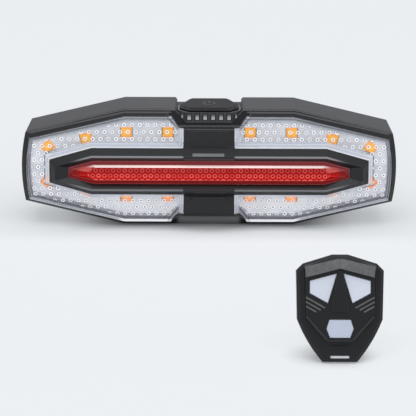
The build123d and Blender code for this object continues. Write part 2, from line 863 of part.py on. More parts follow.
# Push switch on the board's back, under the button, and its plunger
switch_top = stem_foot - plunger_length / 2
with BuildPart() as push_switch:
    with BuildSketch(Plane.XY.offset(switch_top + centre_z)):
        with Locations((0, -board_back - split_y + fit_gap / 2)):
            Rectangle(switch_size, switch_depth, align=(Align.CENTER, Align.MIN))
    extrude(amount=-switch_size)
    with BuildSketch(Plane.XY.offset(switch_top + centre_z)):
        with Locations((0, stem_back - split_y)):
            Circle(plunger_diameter / 2 + fit_gap)
    extrude(amount=-plunger_length / 2 - button_travel - plunger_bore_spare, mode=Mode.SUBTRACT)
save(push_switch, "push_switch")

with BuildPart() as switch_plunger:
    with BuildSketch(Plane.XY.offset(stem_foot + centre_z)):
        with Locations((0, stem_back - split_y)):
            Circle(plunger_diameter / 2)
    extrude(amount=-plunger_length)
save(switch_plunger, "switch_plunger")

# Charging board, edge-on behind the main board, and the socket on it
socket_mouth = -housing_depth + cover_thickness + running_gap
with BuildPart() as charge_board:
    with BuildSketch(front(board_back - fit_gap / 2)):
        with Locations((usb_x, usb_z - usb_height / 2)):
            Rectangle(charge_board_width, charge_board_thickness, align=(Align.CENTER, Align.MAX))
    extrude(amount=port_wall - housing_depth - board_back + fit_gap)
save(charge_board, "charge_board")

with BuildPart() as usb_socket:
    with BuildSketch(front(socket_mouth)):
        with Locations((usb_x, usb_z)):
            SlotOverall(usb_width, usb_height)
    extrude(amount=usb_length)
    with BuildSketch(front(socket_mouth)):
        with Locations((usb_x, usb_z)):
            SlotOverall(usb_width - usb_shell * 2, usb_height - usb_shell * 2)
            Rectangle(usb_tongue_width, usb_tongue, mode=Mode.SUBTRACT)
    extrude(amount=usb_length - overrun, mode=Mode.SUBTRACT)
save(usb_socket, "usb_socket")

# Rubber cover of the port, flush with the back, with a finger notch at its free end
with BuildPart() as usb_cover:
    with BuildSketch(front(-housing_depth)):
        with Locations((usb_x, usb_z)):
            RectangleRounded(cover_length, cover_height, cover_corner)
    extrude(amount=cover_thickness)
    with BuildSketch(front(-housing_depth)):
        with Locations((usb_x - cover_length / 2, usb_z)):
            Circle(cover_grip_width / 2)
    extrude(amount=cover_grip_depth, mode=Mode.SUBTRACT)
save(usb_cover, "usb_cover")


def lobes(radius, turn, mode=Mode.ADD):
    """Disc with two lobes, opposite each other, for the quarter-turn joint."""
    reach = radius * math.cos(math.radians(lobe_angle / 2))
    half = radius * math.sin(math.radians(lobe_angle / 2))
    with BuildSketch(mode=Mode.PRIVATE) as drawn:
        Circle(radius)
        Rectangle(reach * 2, half * 2, mode=Mode.INTERSECT)
        Circle(neck_radius + (radius - lobe_radius))
    add(drawn.sketch_local.rotate(Axis.Z, turn), mode=mode)


# Quarter-turn hub, seated in the housing's back
with BuildPart() as twist_hub:
    with BuildSketch(hub_plane(hub_front_y)):
        Circle(hub_radius)
    extrude(amount=hub_base)
    with BuildSketch(hub_plane(neck_y)):
        Circle(neck_radius)
    extrude(amount=lobe_y - neck_y)
    with BuildSketch(hub_plane(lobe_y)):
        lobes(lobe_radius, 0)
    extrude(amount=lobe_thickness)
save(twist_hub, "twist_hub")

# Seat-post bracket: it turns on the hub, and its back is a saddle for the post
bracket_floor_y = post_y - post_diameter / 2 - pad_thickness - bracket_floor
saddle_radius = post_diameter / 2 + pad_thickness
saddle_reach = saddle_radius * math.cos(math.radians(pad_angle / 2))
bracket_half = post_diameter / 2 - fit_gap
strap_half = post_diameter / 2 + strap_thickness
hook_y = post_y - strap_overlap + hook_length / 2 + hook_lip + strap_thickness
with BuildPart() as seat_post_bracket:
    with BuildSketch(Plane.XY.offset(hub_z - bracket_height / 2)):
        with Locations((0, bracket_y)):
            Rectangle(bracket_half * 2, post_y - saddle_reach - bracket_y,
                      align=(Align.CENTER, Align.MIN))
        with Locations((0, post_y)):
            Circle(saddle_radius, mode=Mode.SUBTRACT)
    extrude(amount=bracket_height)
    chamfer(seat_post_bracket.edges().filter_by(Axis.Y), bracket_height * bracket_cut_share)
    # Opening for the hub's lobes, turned a quarter from where they lie, and the room behind it
    with BuildSketch(hub_plane(bracket_y - overrun)):
        lobes(lobe_radius + running_gap, 90)
    extrude(amount=lip_thickness + overrun * 2, mode=Mode.SUBTRACT)
    with BuildSketch(hub_plane(bracket_y + lip_thickness)):
        Circle(lobe_radius + running_gap)
    extrude(amount=bracket_floor_y - bracket_y - lip_thickness, mode=Mode.SUBTRACT)
    # Hooks for the strap, one on each side
    with BuildSketch(Plane.XY.offset(hub_z - hook_height / 2)):
        for side in (1, -1):
            with BuildLine():
                Polyline((side * (bracket_half - overrun), hook_y - hook_length / 2),
                         (side * (bracket_half + hook_reach - hook_lip), hook_y - hook_length / 2),
                         (side * (bracket_half + hook_reach - hook_lip),
                          hook_y - hook_length / 2 - hook_lip),
                         (side * (bracket_half + hook_reach), hook_y - hook_length / 2 - hook_lip),
                         (side * (bracket_half + hook_reach), hook_y + hook_length / 2),
                         (side * (bracket_half - overrun), hook_y + hook_length / 2), close=True)
            make_face()
    extrude(amount=hook_height)
save(seat_post_bracket, "seat_post_bracket")

# Rubber pad in the saddle
with BuildPart() as saddle_pad:
    with BuildSketch(Plane.XY.offset(hub_z - pad_height / 2)):
        with Locations((0, post_y)):
            Circle(saddle_radius - fit_gap / 2)
            Circle(post_diameter / 2, mode=Mode.SUBTRACT)
        with Locations((0, post_y - saddle_reach - fit_gap)):
            Rectangle(bracket_half * 2 - fit_gap * 2, saddle_radius, align=(Align.CENTER, Align.MAX),
                      mode=Mode.INTERSECT)
    extrude(amount=pad_height)
save(saddle_pad, "saddle_pad")

# Silicone strap: round the back of the post, along the bracket's sides and over its hooks
with BuildPart() as post_strap:
    with BuildSketch(Plane.XY.offset(hub_z - strap_height / 2)):
        with Locations((0, post_y)):
            Circle(strap_half)
            Rectangle(strap_half * 2, strap_half, align=(Align.CENTER, Align.MAX), mode=Mode.SUBTRACT)
            Rectangle(strap_half * 2, strap_overlap, align=(Align.CENTER, Align.MAX))
            Circle(post_diameter / 2, mode=Mode.SUBTRACT)
            Rectangle(post_diameter, strap_overlap + overrun, align=(Align.CENTER, Align.MAX),
                      mode=Mode.SUBTRACT)
    extrude(amount=strap_height)
    with BuildSketch(Plane.YZ.offset(-strap_half - overrun)):
        with Locations((hook_y, hub_z)):
            Rectangle(hook_length + strap_hole_gap * 2, hook_height + strap_hole_gap * 2)
    extrude(amount=strap_half * 2 + overrun * 2, mode=Mode.SUBTRACT)
    fillet(post_strap.edges().filter_by(Axis.X).group_by(Axis.Y)[0], strap_corner)
save(post_strap, "post_strap")


def remote_outline(inset=0, mode=Mode.ADD):
    """The remote's shield outline, drawn in by inset."""
    jaw_x = (remote_foot_width + remote_side_foot_width) / 4
    jaw_y = remote_side_foot / 2
    run = math.hypot(remote_side_foot_width / 2 - remote_foot_width / 2, remote_side_foot)
    out_x = remote_side_foot / run * remote_jaw_bulge
    out_y = (remote_side_foot_width - remote_foot_width) / 2 / run * remote_jaw_bulge
    with BuildSketch(mode=Mode.PRIVATE) as drawn:
        with BuildLine():
            Line((-remote_foot_width / 2, 0), (remote_foot_width / 2, 0))
            for side in (1, -1):
                ThreePointArc((side * remote_foot_width / 2, 0),
                              (side * (jaw_x + out_x), jaw_y - out_y),
                              (side * remote_side_foot_width / 2, remote_side_foot))
                Polyline((side * remote_side_foot_width / 2, remote_side_foot),
                         (side * remote_width / 2, remote_shoulder),
                         (side * remote_temple_width / 2, remote_temple),
                         (side * remote_crown_width / 2, remote_height))
            Line((-remote_crown_width / 2, remote_height), (remote_crown_width / 2, remote_height))
        make_face()
        if inset:
            offset(amount=-inset, kind=Kind.INTERSECTION)
    add(drawn.sketch_local, mode=mode)


def on_face(share, side=1):
    """Point on the remote's face, on the right (1) or mirrored to the left (-1)."""
    return (side * share[0] * remote_width / 2, share[1] * remote_height)


def middle(shares, side):
    """Middle of a key's corners."""
    points = [on_face(share, side) for share in shares]
    count = len(points)
    return (sum(point[0] for point in points) / count, sum(point[1] for point in points) / count)


def key_shape(shares, side, grow=0, mode=Mode.ADD):
    """Outline of a key, on the right (1) or mirrored to the left (-1)."""
    with BuildSketch(mode=Mode.PRIVATE) as drawn:
        with BuildLine():
            Polyline([on_face(share, side) for share in shares], close=True)
        make_face()
        if grow:
            offset(amount=grow, kind=Kind.INTERSECTION)
    add(drawn.sketch_local, mode=mode)


def all_keys(grow):
    """Outlines of the three keys."""
    key_shape(eye_key_shares, 1, grow)
    key_shape(eye_key_shares, -1, grow)
    key_shape(centre_key_shares, 1, grow)


def mask_shape(inset=0):
    """Outline of the raised mask, drawn in by inset."""
    with BuildSketch(mode=Mode.PRIVATE) as drawn:
        with BuildLine():
            Polyline((-mask_crown_width / 2, mask_crown), (mask_crown_width / 2, mask_crown),
                     (mask_top_width / 2, mask_top), (mask_cheek_width / 2, mask_cheek),
                     (mask_chin_width / 2, mask_chin), (-mask_chin_width / 2, mask_chin),
                     (-mask_cheek_width / 2, mask_cheek), (-mask_top_width / 2, mask_top), close=True)
        make_face()
        if inset:
            offset(amount=-inset, kind=Kind.INTERSECTION)
    add(drawn.sketch_local)


def bar_on(start, end, width):
    """A straight bar of a given width from start to end."""
    run = math.hypot(end[0] - start[0], end[1] - start[1])
    turn = math.degrees(math.atan2(end[1] - start[1], end[0] - start[0]))
    place = ((start[0] + end[0]) / 2, (start[1] + end[1]) / 2, 0)
    with Locations(Location(place, (0, 0, turn))):
        Rectangle(run, width)


def make_brow():
    """The two facets over the keys, tilted up and meeting in the middle."""
    rise = brow_centre_foot - brow_outer_foot
    slant = math.degrees(math.atan2(rise, brow_outer_foot_width / 2))
    with BuildPart() as brow:
        with BuildSketch(remote_plane(remote_front)):
            with BuildLine():
                Polyline((0, brow_centre_foot), (brow_outer_foot_width / 2, brow_outer_foot),
                         (brow_outer_top_width / 2, brow_outer_top),
                         (mask_crown_width / 2, brow_centre_top), (0, brow_centre_top), close=True)
            make_face()
        extrude(amount=brow_rise)
        hinge = remote_plane(remote_front + brow_rise)
        edge_point = hinge.from_local_coords(Vector(0, brow_centre_foot, 0))
        facet = Plane(origin=edge_point, x_dir=hinge.x_dir, z_dir=hinge.z_dir)
        facet = facet.rotated((-brow_tilt, 0, -slant))
        split(bisect_by=facet, keep=Keep.BOTTOM)
        mirror(about=remote_side(0))
    return brow


brow = make_brow()

# Remote's front shell: a chamfered shield with the raised mask, brow, nose, ribs and jaw lines
with BuildPart() as remote_front_shell:
    with BuildSketch(remote_plane(0)):
        remote_outline()
    extrude(amount=remote_front - remote_front_chamfer)
    with BuildSketch(remote_plane(remote_front - remote_front_chamfer)):
        remote_outline()
    with BuildSketch(remote_plane(remote_front)):
        remote_outline(remote_front_chamfer)
    loft(ruled=True)
    with BuildSketch(remote_plane(remote_front)):
        mask_shape()
    with BuildSketch(remote_plane(mask_front)):
        mask_shape(mask_bevel)
    loft(ruled=True)
    add(brow.part)
    with BuildSketch(remote_plane(mask_front)):
        with BuildLine():
            Polyline((-nose_top_width / 2, nose_top), (nose_top_width / 2, nose_top),
                     (nose_foot_width / 2, nose_foot), (-nose_foot_width / 2, nose_foot), close=True)
        make_face()
    extrude(amount=nose_rise)
    with BuildSketch(remote_plane(mask_front - rib_rise)):
        for side in (1, -1):
            for start, end in zip(rib_start_shares, rib_end_shares):
                bar_on(on_face(start, side), on_face(end, side), rib_width)
            bar_on(on_face(jaw_start_share, side), on_face(jaw_end_share, side), rib_width)
        bar_on((-chin_bar_width / 2, chin_bar_height), (chin_bar_width / 2, chin_bar_height), rib_width)
    extrude(amount=rib_rise * 2)
    # Hollow for the board and the keys' flanges
    with BuildSketch(remote_plane(0)):
        remote_outline(remote_wall)
        with Locations((remote_screw_x, remote_screw_y), (-remote_screw_x, remote_screw_y)):
            Circle(remote_boss / 2, mode=Mode.SUBTRACT)
        with Locations((0, lug_slot_foot + lug_slot_height / 2)):
            Rectangle(lug_slot_width + remote_wall * 2, lug_slot_height + remote_wall * 2,
                      mode=Mode.SUBTRACT)
    extrude(amount=remote_front - remote_wall, mode=Mode.SUBTRACT)
    with BuildSketch(remote_plane(remote_front - remote_wall)):
        all_keys(key_flange + running_gap * 2)
    extrude(amount=key_flange_thickness + running_gap, mode=Mode.SUBTRACT)
    with BuildSketch(remote_plane(0)):
        all_keys(running_gap)
    extrude(amount=mask_front + brow_rise, mode=Mode.SUBTRACT)
    with BuildSketch(remote_plane(0)):
        with Locations((remote_screw_x, remote_screw_y), (-remote_screw_x, remote_screw_y)):
            Circle(remote_screw_shank / 2 + fit_gap / 2)
    extrude(amount=remote_front - remote_wall, mode=Mode.SUBTRACT)
    with BuildSketch(remote_plane(0)):
        with Locations((0, lug_slot_foot + lug_slot_height / 2)):
            SlotOverall(lug_slot_width, lug_slot_height)
    extrude(amount=remote_front + overrun, mode=Mode.SUBTRACT)
    with BuildSketch(remote_plane(remote_front)):
        bar_on((-chin_groove_width / 2, chin_groove_height), (chin_groove_width / 2, chin_groove_height),
               rib_width / 2)
    extrude(amount=-rib_rise, mode=Mode.SUBTRACT)
save(remote_front_shell, "remote_front_shell")


# Rear shell of the remote: closed box, thin lug at its foot, and the cradle for a handlebar
cradle_axis = remote_rear + cradle_skin + bar_pad_thickness + bar_diameter / 2
cradle_hollow = bar_diameter / 2 + bar_pad_thickness
cradle_depth = cradle_axis - cradle_hollow * math.cos(math.radians(cradle_angle / 2))
cradle_top = cradle_centre + cradle_hollow * math.sin(math.radians(cradle_angle / 2)) + cradle_shoulder
with BuildPart() as remote_rear_shell:
    with BuildSketch(remote_plane(0)):
        remote_outline()
    extrude(amount=remote_rear_chamfer - remote_rear)
    with BuildSketch(remote_plane(remote_rear_chamfer - remote_rear)):
        remote_outline()
    with BuildSketch(remote_plane(-remote_rear)):
        remote_outline(remote_rear_chamfer)
    loft(ruled=True)
    with BuildSketch(remote_side(-cradle_width / 2)):
        with BuildLine():
            Polyline((0, remote_back_wall / 2 - remote_rear), (0, -cradle_depth),
                     (cradle_top - cradle_shoulder / 2, -cradle_depth),
                     (cradle_top, cradle_shoulder / 2 - cradle_depth),
                     (cradle_top, remote_back_wall / 2 - remote_rear), close=True)
        make_face()
        with Locations((cradle_centre, -cradle_axis)):
            Circle(cradle_hollow, mode=Mode.SUBTRACT)
    extrude(amount=cradle_width)
    # Room behind the lug, and the flat foot that stands on the floor
    with BuildSketch(remote_plane(-lug_thickness)):
        Rectangle(remote_width, lug_top * 2)
    extrude(amount=-cradle_depth, mode=Mode.SUBTRACT)
    split(bisect_by=Plane.XY, keep=Keep.TOP)
    # Hollow for the board and the cell, round the two screw bosses
    with BuildSketch(remote_plane(0)):
        remote_outline(remote_wall)
        with Locations((remote_screw_x, remote_screw_y), (-remote_screw_x, remote_screw_y)):
            Circle(remote_boss / 2, mode=Mode.SUBTRACT)
        Rectangle(remote_width, (lug_top + remote_wall) * 2, mode=Mode.SUBTRACT)
    extrude(amount=remote_back_wall - remote_rear, mode=Mode.SUBTRACT)
    with BuildSketch(remote_plane(0)):
        with Locations((remote_screw_x, remote_screw_y), (-remote_screw_x, remote_screw_y)):
            Circle(remote_screw_shank / 2 + fit_gap / 2)
        with Locations((0, lug_slot_foot + lug_slot_height / 2)):
            SlotOverall(lug_slot_width, lug_slot_height)
    extrude(amount=-remote_rear - overrun, mode=Mode.SUBTRACT)
    with BuildSketch(remote_plane(-remote_rear - overrun)):
        with Locations((remote_screw_x, remote_screw_y), (-remote_screw_x, remote_screw_y)):
            Circle(remote_screw_head / 2 + fit_gap)
    extrude(amount=overrun + remote_screw_head_height + fit_gap, mode=Mode.SUBTRACT)
save(remote_rear_shell, "remote_rear_shell")

# Two screws that hold the remote's shells together
with BuildPart() as remote_screws:
    with BuildSketch(remote_plane(-remote_rear)):
        with Locations((remote_screw_x, remote_screw_y), (-remote_screw_x, remote_screw_y)):
            Circle(remote_screw_head / 2)
    extrude(amount=remote_screw_head_height)
    with BuildSketch(remote_plane(-remote_rear)):
        with Locations((remote_screw_x, remote_screw_y), (-remote_screw_x, remote_screw_y)):
            Circle(remote_screw_shank / 2)
    extrude(amount=remote_rear + remote_front - remote_wall - fit_gap)
save(remote_screws, "remote_screws")

# Rubber pad in the cradle
with BuildPart() as remote_bar_pad:
    with BuildSketch(remote_side(fit_gap - cradle_width / 2)):
        with Locations((cradle_centre, -cradle_axis)):
            Circle(cradle_hollow - fit_gap / 2)
            Circle(bar_diameter / 2, mode=Mode.SUBTRACT)
        with Locations((cradle_centre, -cradle_depth)):
            Rectangle(cradle_hollow * 2, cradle_hollow * 2, align=(Align.CENTER, Align.MIN),
                      mode=Mode.INTERSECT)
    extrude(amount=cradle_width - fit_gap * 2)
save(remote_bar_pad, "remote_bar_pad")

# The remote's circuit board, with a switch under each key
with BuildPart() as remote_board:
    with BuildSketch(remote_plane(remote_board_front)):
        remote_outline(remote_board_inset)
        with Locations((remote_screw_x, remote_screw_y), (-remote_screw_x, remote_screw_y)):
            Circle(remote_boss / 2 + fit_gap * 2, mode=Mode.SUBTRACT)
        Rectangle(remote_width, (lug_top + remote_board_inset) * 2, mode=Mode.SUBTRACT)
    extrude(amount=-remote_board_thickness)
save(remote_board, "remote_board")

with BuildPart() as remote_switches:
    with BuildSketch(remote_plane(remote_board_front)):
        with Locations(middle(eye_key_shares, -1), middle(eye_key_shares, 1), middle(centre_key_shares, 1)):
            Rectangle(key_switch_size, key_switch_size)
    extrude(amount=key_switch_height)
save(remote_switches, "remote_switches")

# Coin cell, and the spring contact behind it
cell_back = remote_back_wall - remote_rear + cell_contact_thickness + fit_gap / 2
with BuildPart() as remote_cell:
    with BuildSketch(remote_plane(cell_back)):
        with Locations((0, cell_height)):
            Circle(cell_diameter / 2)
    extrude(amount=cell_thickness)
    chamfer(remote_cell.edges(), cell_edge)
save(remote_cell, "remote_cell")

with BuildPart() as remote_cell_contact:
    with BuildSketch(remote_plane(remote_back_wall - remote_rear)):
        with Locations((0, cell_height)):
            Rectangle(cell_contact_length, cell_contact_width)
    extrude(amount=cell_contact_thickness)
save(remote_cell_contact, "remote_cell_contact")


def make_key(shares, side, name):
    """A translucent key: its face, the flange that keeps it in, and a stem over its switch."""
    flange_back = remote_front - remote_wall
    stem_end = remote_board_front + key_switch_height + key_travel + fit_gap / 2
    with BuildPart() as key:
        with BuildSketch(remote_plane(flange_back)):
            key_shape(shares, side, key_flange)
        extrude(amount=key_flange_thickness)
        with BuildSketch(remote_plane(flange_back)):
            key_shape(shares, side)
        extrude(amount=key_front - flange_back)
        with BuildSketch(remote_plane(stem_end)):
            with Locations(middle(shares, side)):
                Circle(key_stem / 2)
        extrude(amount=flange_back - stem_end)
    save(key, name)


make_key(eye_key_shares, -1, "remote_left_key")
make_key(eye_key_shares, 1, "remote_right_key")
make_key(centre_key_shares, 1, "remote_centre_key")
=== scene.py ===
import math
import bpy
from mathutils import Matrix, Vector


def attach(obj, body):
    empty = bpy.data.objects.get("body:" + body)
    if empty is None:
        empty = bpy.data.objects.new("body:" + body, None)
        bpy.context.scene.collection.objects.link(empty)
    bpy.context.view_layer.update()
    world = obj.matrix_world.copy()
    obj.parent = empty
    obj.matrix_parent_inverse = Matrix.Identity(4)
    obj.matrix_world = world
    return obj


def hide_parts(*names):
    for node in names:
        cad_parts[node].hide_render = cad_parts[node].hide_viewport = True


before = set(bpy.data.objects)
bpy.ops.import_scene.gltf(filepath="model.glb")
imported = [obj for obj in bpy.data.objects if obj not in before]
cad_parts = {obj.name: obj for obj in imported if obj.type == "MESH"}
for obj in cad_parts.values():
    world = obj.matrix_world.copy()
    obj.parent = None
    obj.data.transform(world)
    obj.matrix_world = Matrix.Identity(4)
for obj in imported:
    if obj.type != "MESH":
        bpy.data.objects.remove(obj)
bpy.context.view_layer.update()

# Rear housing: the deep case behind the lenses, moulded in dark grey nylon.
# A sparked mould leaves its skin matt and a little mottled, and handling and a painted highlight pale its
# corners.
# Its front edge is darker, where the bezel shades it.


def add_node(tree, kind, **values):
    """A node with its inputs set by name."""
    node = tree.nodes.new(kind)
    for name, value in values.items():
        node.inputs[name.replace("_", " ")].default_value = value
    return node


def add_group(tree, group, **values):
    """A shader node group in a tree, with its inputs set by name."""
    node = tree.nodes.new("ShaderNodeGroup")
    node.node_tree = group
    for name, value in values.items():
        node.inputs[name.replace("_", " ")].default_value = value
    return node


def split(tree, vector):
    """The X, Y and Z of a vector."""
    parts = tree.nodes.new("ShaderNodeSeparateXYZ")
    tree.links.new(vector, parts.inputs["Vector"])
    return parts.outputs


def reckon(tree, operation, first, second=0.0):
    """A Math node: each term is a socket or a number."""
    node = tree.nodes.new("ShaderNodeMath")
    node.operation = operation
    for place, term in enumerate((first, second)):
        if isinstance(term, (int, float)):
            node.inputs[place].default_value = term
        else:
            tree.links.new(term, node.inputs[place])
    return node.outputs[0]


def times(tree, first, *others):
    """The product of masks and numbers."""
    for other in others:
        first = reckon(tree, "MULTIPLY", first, other)
    return first


def plus(tree, first, *others):
    """The sum of masks and numbers."""
    for other in others:
        first = reckon(tree, "ADD", first, other)
    return first


def minus(tree, first, second):
    """A difference of masks or numbers."""
    return reckon(tree, "SUBTRACT", first, second)


def ramp(tree, value, low, high):
    """0 at low and 1 at high, smooth between them: each term is a socket or a number."""
    step = tree.nodes.new("ShaderNodeMapRange")
    step.interpolation_type = "SMOOTHSTEP"
    for socket, term in (("Value", value), ("From Min", low), ("From Max", high)):
        if isinstance(term, (int, float)):
            step.inputs[socket].default_value = term
        else:
            tree.links.new(term, step.inputs[socket])
    return step.outputs["Result"]


def blend_colours(tree, share, first, second):
    """A colour mix: each term is a socket, a number or a colour."""
    node = tree.nodes.new("ShaderNodeMix")
    node.data_type = "RGBA"
    for socket, term in ((node.inputs[0], share), (node.inputs[6], first), (node.inputs[7], second)):
        if isinstance(term, bpy.types.NodeSocket):
            tree.links.new(term, socket)
        else:
            socket.default_value = term
    return node.outputs[2]


def new_group(name, inputs, outputs):
    """A shader node group with named float, colour or vector sockets."""
    group = bpy.data.node_groups.new(name, "ShaderNodeTree")
    kinds = {"f": "NodeSocketFloat", "c": "NodeSocketColor", "v": "NodeSocketVector"}
    for socket, kind in inputs:
        group.interface.new_socket(socket, in_out="INPUT", socket_type=kinds[kind])
    for socket, kind in outputs:
        group.interface.new_socket(socket, in_out="OUTPUT", socket_type=kinds[kind])
    return group, group.nodes.new("NodeGroupInput").outputs, group.nodes.new("NodeGroupOutput").inputs


edge_group, given, out = new_group("rounded_edges", [("Radius", "f")], [("Normal", "v"), ("Edge", "f")])
rounded = edge_group.nodes.new("ShaderNodeBevel")
rounded.samples = 6
surface = edge_group.nodes.new("ShaderNodeNewGeometry")
turn = edge_group.nodes.new("ShaderNodeVectorMath")
turn.operation = "DOT_PRODUCT"
edge_group.links.new(given["Radius"], rounded.inputs["Radius"])
edge_group.links.new(rounded.outputs["Normal"], turn.inputs[0])
edge_group.links.new(surface.outputs["Normal"], turn.inputs[1])
edge_group.links.new(rounded.outputs["Normal"], out["Normal"])
turned = minus(edge_group, 1.0, turn.outputs["Value"])
least_turn, full_turn = 0.003, 0.08
edge_group.links.new(ramp(edge_group, turned, least_turn, full_turn), out["Edge"])

grain_group, given, out = new_group(
    "moulded_grain",
    [("Position", "v"), ("Colour", "c"), ("Grain scale", "f"), ("Grain depth", "f"), ("Roughness", "f"),
     ("Drift", "f"), ("Dust", "f"), ("Edge radius", "f"), ("Wear", "f"), ("Wear colour", "c")],
    [("Colour", "c"), ("Roughness", "f"), ("Normal", "v")])
fine = add_node(grain_group, "ShaderNodeTexNoise", Detail=3.0, Roughness=0.6)
slow = add_node(grain_group, "ShaderNodeTexNoise", Scale=70.0, Detail=4.0, Roughness=0.55)
edges = add_group(grain_group, edge_group)
raised = add_node(grain_group, "ShaderNodeBump", Distance=0.0001)
tone = add_node(grain_group, "ShaderNodeHueSaturation")
for start, end in (
        (given["Position"], fine.inputs["Vector"]), (given["Position"], slow.inputs["Vector"]),
        (given["Grain scale"], fine.inputs["Scale"]), (given["Edge radius"], edges.inputs["Radius"]),
        (given["Grain depth"], raised.inputs["Strength"]), (fine.outputs["Fac"], raised.inputs["Height"]),
        (edges.outputs["Normal"], raised.inputs["Normal"]), (raised.outputs["Normal"], out["Normal"]),
        (given["Colour"], tone.inputs["Color"])):
    grain_group.links.new(start, end)
shift = times(grain_group, minus(grain_group, slow.outputs["Fac"], 0.5), given["Drift"])
speck = times(grain_group, minus(grain_group, fine.outputs["Fac"], 0.5), given["Dust"])
grain_group.links.new(plus(grain_group, shift, speck, 1.0), tone.inputs["Value"])
# Edges are paled in patches through the Edge mask: partly wear, partly a painted highlight.
least_paling, patches, patch_noise = 0.7, 0.3, (0.30, 0.62)
worn_and_glinting = plus(grain_group, times(grain_group, ramp(grain_group, slow.outputs["Fac"], *patch_noise), patches),
            least_paling)
worn_and_glinting = times(grain_group, edges.outputs["Edge"], given["Wear"], worn_and_glinting)
grain_group.links.new(blend_colours(grain_group, worn_and_glinting, tone.outputs["Color"], given["Wear colour"]),
                      out["Colour"])
rough_drift = 0.6
grain_group.links.new(plus(grain_group, given["Roughness"], times(grain_group, shift, rough_drift)),
                      out["Roughness"])


def new_material(name):
    """A material with its tree, its shader and the Object coordinates' socket."""
    material = bpy.data.materials.new(name)
    material.use_nodes = True
    tree = material.node_tree
    here = tree.nodes.new("ShaderNodeTexCoord").outputs["Object"]
    return material, tree, tree.nodes["Principled BSDF"], here


def set_shader(shader, **values):
    """The shader's own plain values, by name."""
    for name, value in values.items():
        shader.inputs[name.replace("_", " ")].default_value = value


def moulded(name, colour, roughness, grain=2600.0, depth=0.25, drift=0.25, dust=0.12, edge=0.00025,
            wear_and_glint=0.5, worn_glint_tone=0.10, **settings):
    """A plastic, rubber or metal with moulded grain, its edges paled by wear and a painted highlight.
    Settings are the shader's own.
    """
    material, tree, shader, here = new_material(name)
    skin = add_group(tree, grain_group, Colour=(*colour, 1.0), Grain_scale=grain, Grain_depth=depth,
                     Roughness=roughness, Drift=drift, Dust=dust, Edge_radius=edge, Wear=wear_and_glint,
                     Wear_colour=(worn_glint_tone, worn_glint_tone, worn_glint_tone * 1.04, 1.0))
    tree.links.new(here, skin.inputs["Position"])
    for output, socket in (("Colour", "Base Color"), ("Roughness", "Roughness"), ("Normal", "Normal")):
        tree.links.new(skin.outputs[output], shader.inputs[socket])
    set_shader(shader, **settings)
    return material


def finish_node(material, *nodes):
    """Gives CAD nodes their finish."""
    for node in nodes:
        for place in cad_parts[node].material_slots:
            place.material = material


def overlay(material):
    """A finish's tree, its shader and the X, Y and Z of Object coordinates, to paint parts of it."""
    tree = material.node_tree
    here = tree.nodes["Texture Coordinate"].outputs["Object"]
    return tree, tree.nodes["Principled BSDF"], split(tree, here)


def paint(tree, shader, mask, colour):
    """Lays a colour over the base colour where a mask is 1."""
    plain = shader.inputs["Base Color"].links[0].from_socket
    tree.links.new(blend_colours(tree, mask, plain, colour), shader.inputs["Base Color"])


housing = moulded("housing_nylon", (0.052, 0.051, 0.056), 0.66, grain=1900.0, depth=0.35, drift=0.22,
                  dust=0.30, wear_and_glint=0.35, worn_glint_tone=0.13, IOR=1.28)
tree, shader, at = overlay(housing)
shaded_front = (-0.0078, -0.0083)
paint(tree, shader, ramp(tree, at["Y"], *shaded_front), (0.016, 0.016, 0.018, 1.0))
finish_node(housing, "rear_housing")

# Front bezel: the darker ring that screws the lenses down, with its two centre tabs.
# Same nylon in a smoother mould; its inside is silvered like the reflector, to lose no light.
# A thin painted highlight follows its rim and two more cross the upper tab; its ends carry painted shade,
# and its foot a painted reflection.
middle_height = 0.019


def either(tree, first, second):
    """The stronger of two masks."""
    return reckon(tree, "MAXIMUM", first, second)


def between(tree, value, low, high, soft):
    """1 between low and high and 0 outside them, over a soft border."""
    return times(tree, ramp(tree, value, low - soft, low + soft),
                 ramp(tree, value, high + soft, high - soft))


outline_group, given, out = new_group(
    "outline_distance",
    [("Position", "v"), ("Half width", "f"), ("Half height", "f"), ("Slope across", "f"), ("Slope up", "f"),
     ("Slope reach", "f")], [("Distance", "f")])
at = split(outline_group, given["Position"])
across = reckon(outline_group, "ABSOLUTE", at["X"])
upright = reckon(outline_group, "ABSOLUTE", minus(outline_group, at["Z"], middle_height))
sloped = plus(outline_group, times(outline_group, across, given["Slope across"]),
              times(outline_group, upright, given["Slope up"]))
outline_group.links.new(either(outline_group, either(outline_group,
                                                     minus(outline_group, across, given["Half width"]),
                                                     minus(outline_group, upright, given["Half height"])),
                               minus(outline_group, sloped, given["Slope reach"])), out["Distance"])


def from_outline(tree, here, half_width, half_height, half_flat, half_end):
    """How far a point lies outside a long hexagon; negative inside it."""
    run, fall = half_width - half_flat, half_height - half_end
    across, up = fall / math.hypot(run, fall), run / math.hypot(run, fall)
    group = add_group(tree, outline_group, Half_width=half_width, Half_height=half_height,
                      Slope_across=across, Slope_up=up, Slope_reach=across * half_flat + up * half_height)
    tree.links.new(here, group.inputs["Position"])
    return group.outputs["Distance"]


light_sizes = (0.0600, 0.0190, 0.0272, 0.0113)
bezel = moulded("bezel_nylon", (0.006, 0.006, 0.007), 0.45, grain=3200.0, depth=0.15, drift=0.20,
                edge=0.00034, wear_and_glint=1.0, worn_glint_tone=0.16, IOR=1.28, Specular_IOR_Level=0.40)
tree, shader, at = overlay(bezel)
rim = from_outline(tree, tree.nodes["Texture Coordinate"].outputs["Object"], *light_sizes)
across = reckon(tree, "ABSOLUTE", at["X"])
